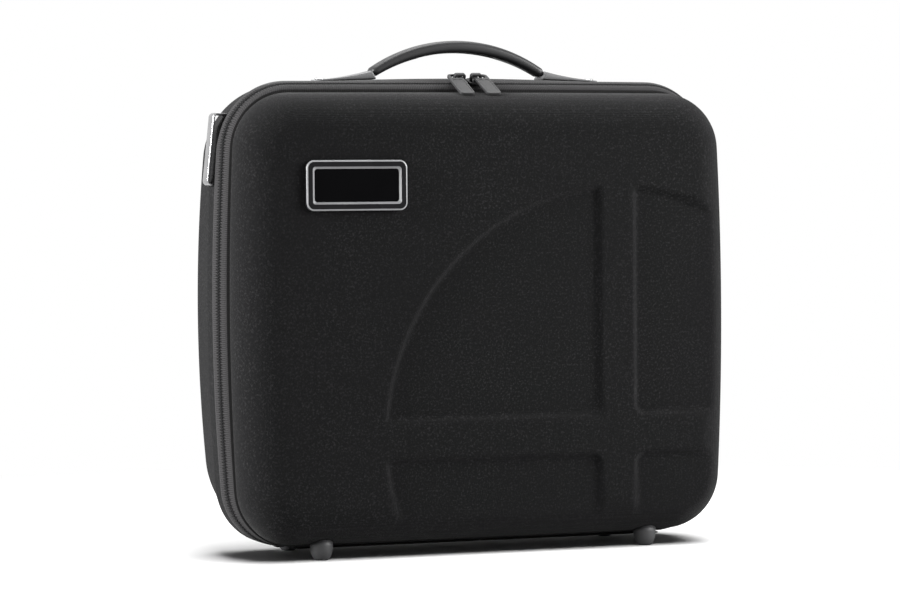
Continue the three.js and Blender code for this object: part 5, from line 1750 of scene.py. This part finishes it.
class CASE_OT_stage(bpy.types.Operator):
    """Floor, soft lamps, sky and the camera at the photograph's angle"""

    bl_idname = "case.stage"
    bl_label = "Stage"

    def execute(self, context):
        st = context.scene.case_stage
        self.floor(context, st)
        self.sky(context, st)
        self.lamp("Top lamp", (0.1, 0.4, 2.0), (0, 0.02, 0.15), 1.2, st.top_power)
        self.lamp("Left lamp", (-1.8, 0.05, 0.8), (0, 0, 0.15), 0.9, st.left_power, "EXCLUDE")
        self.lamp("Right lamp", (0.9, -0.56, 0.6), (0, 0, 0.17), 0.6, st.right_power, "EXCLUDE")
        self.lamp("Back lamp", (0.2, 0.9, 1.3), (0, 0, 0.3), 0.8, st.back_power, "EXCLUDE")
        self.lamp("Floor lamp", (0.2, -1.0, 2.2), (0, -0.1, 0), 2.0, st.floor_power, "INCLUDE")
        self.camera(context, st)
        return {"FINISHED"}

    def floor(self, context, st):
        half = st.floor / 2
        mesh = bpy.data.meshes.new("floor")
        corners = [(-half, -half, 0), (half, -half, 0), (half, half, 0), (-half, half, 0)]
        mesh.from_pydata(corners, [], [(0, 1, 2, 3)])
        material, tree, shader = principled("Floor")
        place = object_place(tree)
        c = context.scene.case_colours.ground
        shade = mixed(tree, noise(tree, place, 3.0), four(c, 0.995), four(c, 1.005))
        finish(tree, shader, shade, 0.9, 0.1)
        away = vector_maths(tree, "LENGTH", [(0, place)])["Value"]
        far = maths(tree, "DIVIDE", maths(tree, "SUBTRACT", away, st.near), st.fade, True)
        share = maths(tree, "MULTIPLY", far, shown(tree))
        glow = add(tree, "ShaderNodeEmission", [("Color", (1, 1, 1, 1)), ("Strength", 1.0)])
        both = [(0, share), (1, shader.outputs[0]), (2, glow.outputs[0])]
        whole = add(tree, "ShaderNodeMixShader", both).outputs[0]
        feed(tree, tree.nodes["Material Output"], [("Surface", whole)])
        mesh.materials.append(material)
        floor = bpy.data.objects.new("floor", mesh)
        context.scene.collection.objects.link(floor)

    def sky(self, context, st):
        world = bpy.data.worlds.new("Sky")
        context.scene.world = world
        world.use_nodes = True
        tree = world.node_tree
        level = scaled(tree, shown(tree), 1.0 - st.sky, st.sky)
        background = [("Strength", level), ("Color", (1, 1, 1, 1))]
        feed(tree, tree.nodes["Background"], background)

    def lamp(self, name, place, target, size, power, floor=None):
        data = bpy.data.lights.new(name, "AREA")
        data.size = size
        data.energy = power
        lamp = bpy.data.objects.new(name, data)
        aim = np.array(target) - np.array(place)
        lamp.matrix_world = looking(place, aim, (0, 0, 1) if abs(aim[2]) < 1.5 else (0, 1, 0))
        bpy.context.scene.collection.objects.link(lamp)
        if floor:
            lit = bpy.data.collections.new(f"{name} and the floor")
            lit.objects.link(bpy.data.objects["floor"])
            lit.collection_objects[0].light_linking.link_state = floor
            lamp.light_linking.receiver_collection = lit

    def camera(self, context, st):
        data = bpy.data.cameras.new("Camera")
        data.sensor_width = 36
        data.lens = st.lens
        data.shift_x = SHIFT_RIGHT / PIXELS_WIDE
        data.shift_y = SHIFT_UP / PIXELS_WIDE
        data.clip_end = 200
        camera = bpy.data.objects.new("Camera", data)
        azimuth, elevation, roll = (math.radians(a) for a in (AZIMUTH, ELEVATION, ROLL))
        level = math.cos(elevation)
        forward = np.array(
            [-math.sin(azimuth) * level, math.cos(azimuth) * level, -math.sin(elevation)]
        )
        right = np.array([math.cos(azimuth), math.sin(azimuth), 0])
        up = np.cross(right, forward)
        x = math.cos(roll) * right + math.sin(roll) * up
        y = np.cross(-forward, x)
        place = np.array(AIM) - forward * DISTANCE - np.array(ASIDE)
        camera.matrix_world = framed(x, y, -forward, place)
        context.scene.collection.objects.link(camera)
        context.scene.camera = camera
        context.scene.view_settings.view_transform = "Standard"


def shown(tree):
    """1 for the rays that show the white backdrop: the camera's, glossy and transmission ones."""
    path = add(tree, "ShaderNodeLightPath")
    seen = maths(tree, "MAXIMUM", path.outputs["Is Camera Ray"], path.outputs["Is Glossy Ray"])
    return maths(tree, "MAXIMUM", seen, path.outputs["Is Transmission Ray"])


def framed(x, y, z, place):
    """A matrix from three axes and a place."""
    upper = np.stack([x, y, z, place], axis=1)
    return Matrix([[*row] for row in np.vstack([upper, [0, 0, 0, 1]])])


def looking(place, aim, up):
    """A matrix at a place whose -Z axis points along an aim."""
    z = -np.array(aim) / np.linalg.norm(aim)
    x = np.cross(up, z)
    x = x / np.linalg.norm(x)
    return framed(x, np.cross(z, x), z, np.array(place))


class CASE_PT_panel(bpy.types.Panel):
    """Buttons for each group of pieces and the sizes they use"""

    bl_idname = "CASE_PT_panel"
    bl_label = "Microphone case"
    bl_space_type = "VIEW_3D"
    bl_region_type = "UI"
    bl_category = "Case"

    def draw(self, context):
        for step in STEPS:
            self.layout.operator(f"case.{step}")
        for name in GROUPS:
            group = getattr(context.scene, name)
            box = self.layout.box()
            box.label(text=GROUPS[name].__doc__)
            for key in group.__annotations__:
                box.prop(group, key)


GROUPS = {
    "case_shell": ShellSizes,
    "case_zip": ZipSizes,
    "case_handle": HandleSizes,
    "case_loop": LoopSizes,
    "case_slider": SliderSizes,
    "case_trim": TrimSizes,
    "case_colours": FinishColours,
    "case_stage": StageSizes,
}
OPERATORS = [
    CASE_OT_stage,
    CASE_OT_front_shell,
    CASE_OT_rear_shell,
    CASE_OT_zip,
    CASE_OT_hinge,
    CASE_OT_handle,
    CASE_OT_loops,
    CASE_OT_sliders,
    CASE_OT_badge,
    CASE_OT_feet,
    CASE_OT_foam,
]
STEPS = [operator.bl_idname.split(".")[1] for operator in OPERATORS]


def register():
    for name, group in GROUPS.items():
        bpy.utils.register_class(group)
        setattr(bpy.types.Scene, name, PointerProperty(type=group))
    for operator in OPERATORS:
        bpy.utils.register_class(operator)
    bpy.utils.register_class(CASE_PT_panel)


def unregister():
    bpy.utils.unregister_class(CASE_PT_panel)
    for operator in reversed(OPERATORS):
        bpy.utils.unregister_class(operator)
    for name, group in reversed(GROUPS.items()):
        delattr(bpy.types.Scene, name)
        bpy.utils.unregister_class(group)


def main():
    register()
    for step in STEPS:
        getattr(bpy.ops.case, step)()


if __name__ == "__main__":
    main()
